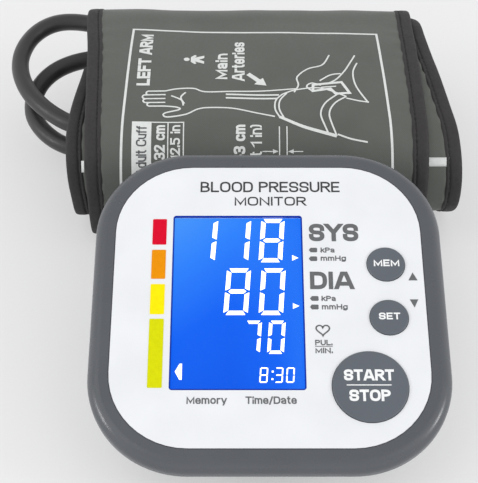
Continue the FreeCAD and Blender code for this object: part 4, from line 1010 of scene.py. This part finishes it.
def heart(x, y, wide, high):
    line = []
    for step in range(36):
        a = 2 * math.pi * step / 36
        up = 13 * math.cos(a) - 5 * math.cos(2 * a) - 2 * math.cos(3 * a) - math.cos(4 * a) + 2.5
        line.append((x + wide / 32 * 16 * math.sin(a) ** 3, y + high / 29 * up))
    return line


def lozenge(x, y, wide, high):
    """A short mark, pointed on its left and with its right corners cut."""
    x0, x1, y0, y1 = x - wide / 2, x + wide / 2, y - high / 2, y + high / 2
    point, cut = 0.7, 0.3
    return [(x0, y), (x0 + point, y0), (x1 - cut, y0), (x1, y0 + cut), (x1, y1 - cut), (x1 - cut, y1),
            (x0 + point, y1)]


def add_labels():
    big, small, thin = 0.22, 0.2, 0.18
    entries = [("SYS", 25.4, 29.2, 19.1, 7.8, big), ("DIA", 24, 8.2, 16.6, 7.5, big),
               ("kPa", 22.8, 21.4, 5.3, 2.2, small), ("mmHg", 24.9, 17.8, 9.7, 2.2, small),
               ("kPa", 22.5, 0.5, 5.3, 2.2, small), ("mmHg", 24.7, -3, 9.7, 2.2, small),
               ("PUL.", 20.1, -17.8, 6.4, 2.2, small), ("MIN.", 20.1, -21, 6.4, 2.2, small),
               ("Memory", -23, -40.7, 14.6, 2.9, thin), ("Time/Date", 0.3, -40.7, 18.5, 2.9, thin)]
    shapes = [lozenge(x, y, 3.2, 2) for x, y in ((17.2, 21.4), (17.1, 17.6), (17.1, 0.5), (17, -3.1))]
    shapes += [bar(16.8, -19.45, 23.3, -19.2), [(53.1, 8.2), (56.6, 8.2), (54.9, 11.6)],
               [(53.1, 0.1), (54.7, -3.3), (56.3, 0.1)],
               ribbon(heart(19.9, -12.9, 5, 4.3), 0.55, closed=True)]
    words("face_labels", entries, PANEL_TOP + 0.01, "label_grey", shapes=shapes)
    side, corner = 59.2, 29.6
    # painted shade: a thin dark line round the panel's edge, standing for the shaded gap between panel and
    # bezel
    words("panel_gap_shade", [], PANEL_TOP - 0.02, "gap_shade_dark",
          shapes=[ribbon(bar(-side, -side, side, side, corner, 12), 0.34, closed=True)])
    title = [("BLOOD PRESSURE", 1, 50, 55, 4.8, 0.15), ("MONITOR", 1, 43.4, 28, 4, 0.15)]
    words("face_title", title, PANEL_TOP + 0.01, "label_dark")
    start = [("START", 36.1, -31.1, 18.3, 4.4, 0.22), ("STOP", 36.1, -39.1, 15, 4.5, 0.22)]
    for name, body, entries, shapes in (
            ("memory_key_label", "memory_button", [("MEM", 45.1, 15.4, 9.8, 2.9, 0.21)], []),
            ("set_key_label", "set_button", [("SET", 45, -7.2, 8, 2.8, 0.21)], []),
            ("start_key_label", "start_stop_button", start, [bar(27.8, -35.25, 44.1, -34.85)])):
        words(name, entries, KEY_TOP + 0.01, "label_white", body, shapes)


def add_colour_scale():
    """The four plates of the reading scale, left of the display."""
    x0, x1, corner, thick = -44.8, -39.4, 0.4, 0.08
    for name, y0, y1, material in (
            ("scale_high", 23.8, 35.2, "scale_red"), ("scale_raised", 8.9, 21.5, "scale_orange"),
            ("scale_borderline", -6.1, 6.6, "scale_yellow"), ("scale_normal", -35.9, -8.0, "scale_green")):
        plates = flat_shapes(name, [bar(x0, y0, x1, y1, corner)], thick)
        on_face(name, plates, PANEL_TOP + 0.01, material)


LIT = {"0": "abcdef", "1": "bc", "3": "abgcd", "7": "abc", "8": "abcdefg"}
SLANT = 0.07


def digit(symbol, x, y, wide, high, thick):
    """The lit segments of a slanted digit whose lower left corner is at x, y."""
    gap, cut, middle = 0.23 * thick, 0.3 * thick, high / 2
    across = lambda points: [(wide - px, py) for px, py in points]
    over = lambda points: [(px, high - py) for px, py in points]
    top = [(cut + gap, high), (thick + gap / 2, high - thick), (wide - thick - gap / 2, high - thick),
           (wide - cut - gap, high)]
    side = [(0, high - cut - gap), (0, middle + gap), (thick, middle + thick / 2 + gap),
            (thick, high - thick - gap / 2)]
    tip, shoulder = gap + 0.45 * thick, gap + thick
    bridge = [(tip, middle), (shoulder, middle - thick / 2), (wide - shoulder, middle - thick / 2),
              (wide - tip, middle), (wide - shoulder, middle + thick / 2), (shoulder, middle + thick / 2)]
    segments = {"a": top, "d": over(top), "f": side, "e": over(side), "b": across(side),
                "c": across(over(side)), "g": bridge}
    return [[(x + px + (py - middle) * SLANT, y + py) for px, py in segments[lit]] for lit in LIT[symbol]]


def add_digits():
    shapes = []
    for text, right_edges, y, wide, high, thick in (
            ("118", (-20.1, -7.2, 5.9), 15.8, 9.1, 19.3, 1.75), ("80", (-7.4, 5.9), -6.8, 9.2, 19.9, 1.75),
            ("70", (-3.3, 5.6), -22.8, 6.2, 13.6, 1.3), ("8", (-1,), -34.4, 3, 6.1, 0.5),
            ("30", (4.6, 8.8), -34.4, 3, 6.1, 0.5)):
        for symbol, edge in zip(text, right_edges):
            shapes += digit(symbol, edge - wide - high / 2 * SLANT * 0.5, y, wide, high, thick)
    shapes += [bar(0.2, -33.3, 0.9, -32.6), bar(0.35, -30.3, 1.05, -29.6)]
    shapes += [[(8.8, 16.5), (11.2, 17.7), (8.8, 18.9)], [(8.7, -4.2), (11.1, -3), (8.7, -1.9)],
               [(-35.3, -30), (-33.6, -33.2), (-32.7, -33.2), (-32.7, -26.8), (-33.6, -26.8)]]
    mesh = flat_shapes("lcd_digits", shapes, 0.03)
    mesh.transform(Matrix.Translation((0.4, 1.4, 0)))
    on_face("lcd_digits", mesh, GLASS_TOP + 0.02, "digits")
    # painted shade: a dark band round the display's opening, standing for the shade that the recess casts on
    # the display
    window = [FACE.inverted() @ vertex.co for vertex in nodes["display_window"].data.vertices]
    (x0, y0), (x1, y1) = ([pick(point[k] for point in window) for k in (0, 1)] for pick in (min, max))
    top = max(point.z for point in window)
    shade_rim = flat_shapes("window_shade_rim", [ribbon(bar(x0, y0, x1, y1, 1.0, 6), 0.9, closed=True)], -top - 0.05)
    on_face("window_shade_rim", shade_rim, top + 0.01, "window_shade_rim")


add_labels()
add_colour_scale()
add_digits()


# ---- CAD finish
def paint_nodes():
    """Every CAD node takes the material of its slot in the record."""
    for entry in frame["record"]["subparts"]:
        mesh = nodes[entry["node"]].data
        material = MATERIALS[entry["material_slot"]]
        if not mesh.materials:
            mesh.materials.append(material)
        for index in range(len(mesh.materials)):
            mesh.materials[index] = material


paint_nodes()


# ---- stage
def add_stage():
    """A pale floor that gives off a little light, just under the part's lowest point."""
    side = 3000
    mesh = mesh_of("floor", [(x, y, 0) for x, y in bar(-side, -side, side, side)], [(0, 1, 2, 3)])
    glow = {"Emission Color": linear((168, 168, 168)), "Emission Strength": 1.0}
    floor = Finish("floor", (180, 180, 181), 0.9, **glow, specular=0.1)
    floor.shade(floor.noise(220.0), 0.995, 1.005)
    mesh.materials.append(floor.material)
    stage = show("floor", mesh)
    stage.location.z = -0.0003


def add_light(name, place, target, size, power):
    data = bpy.data.lights.new(name, "AREA")
    data.shape, data.size, data.energy = "DISK", size, power
    light = show(name, data)
    light.location = place
    light.rotation_euler = (Vector(target) - Vector(place)).to_track_quat("-Z", "Y").to_euler()


def add_lights():
    world = bpy.data.worlds.new("studio")
    world.use_nodes = True
    tree = world.node_tree
    background = tree.nodes["Background"]
    kinds = ("TexCoord", "SeparateXYZ", "ValToRGB")
    place, split, ramp = (tree.nodes.new(f"ShaderNode{kind}") for kind in kinds)
    tree.links.new(place.outputs["Generated"], split.inputs[0])
    tree.links.new(split.outputs[2], ramp.inputs[0])
    tree.links.new(ramp.outputs[0], background.inputs["Color"])
    elements = ramp.color_ramp.elements
    elements.new(0.4)
    # a bright horizon and a softer ceiling, by height
    for element, (height, tone) in zip(elements, ((0.0, 1.0), (0.4, 0.86), (1.0, 0.56))):
        element.position, element.color = height, (tone, tone, tone, 1.0)
    background.inputs["Strength"].default_value = 1.12
    bpy.context.scene.world = world
    centre = (0.0, -0.05, 0.03)
    for name, place, size, power in (("key", (-0.7, -0.25, 1.25), 1.0, 1.7),
                                     ("fill", (0.8, -0.45, 1.1), 1.0, 1.3),
                                     ("left strip", (-1.0, -0.3, 0.5), 0.3, 2.6),
                                     ("right strip", (1.0, -0.3, 0.5), 0.3, 2.6)):
        add_light(name, place, centre, size, power)


add_stage()
add_lights()
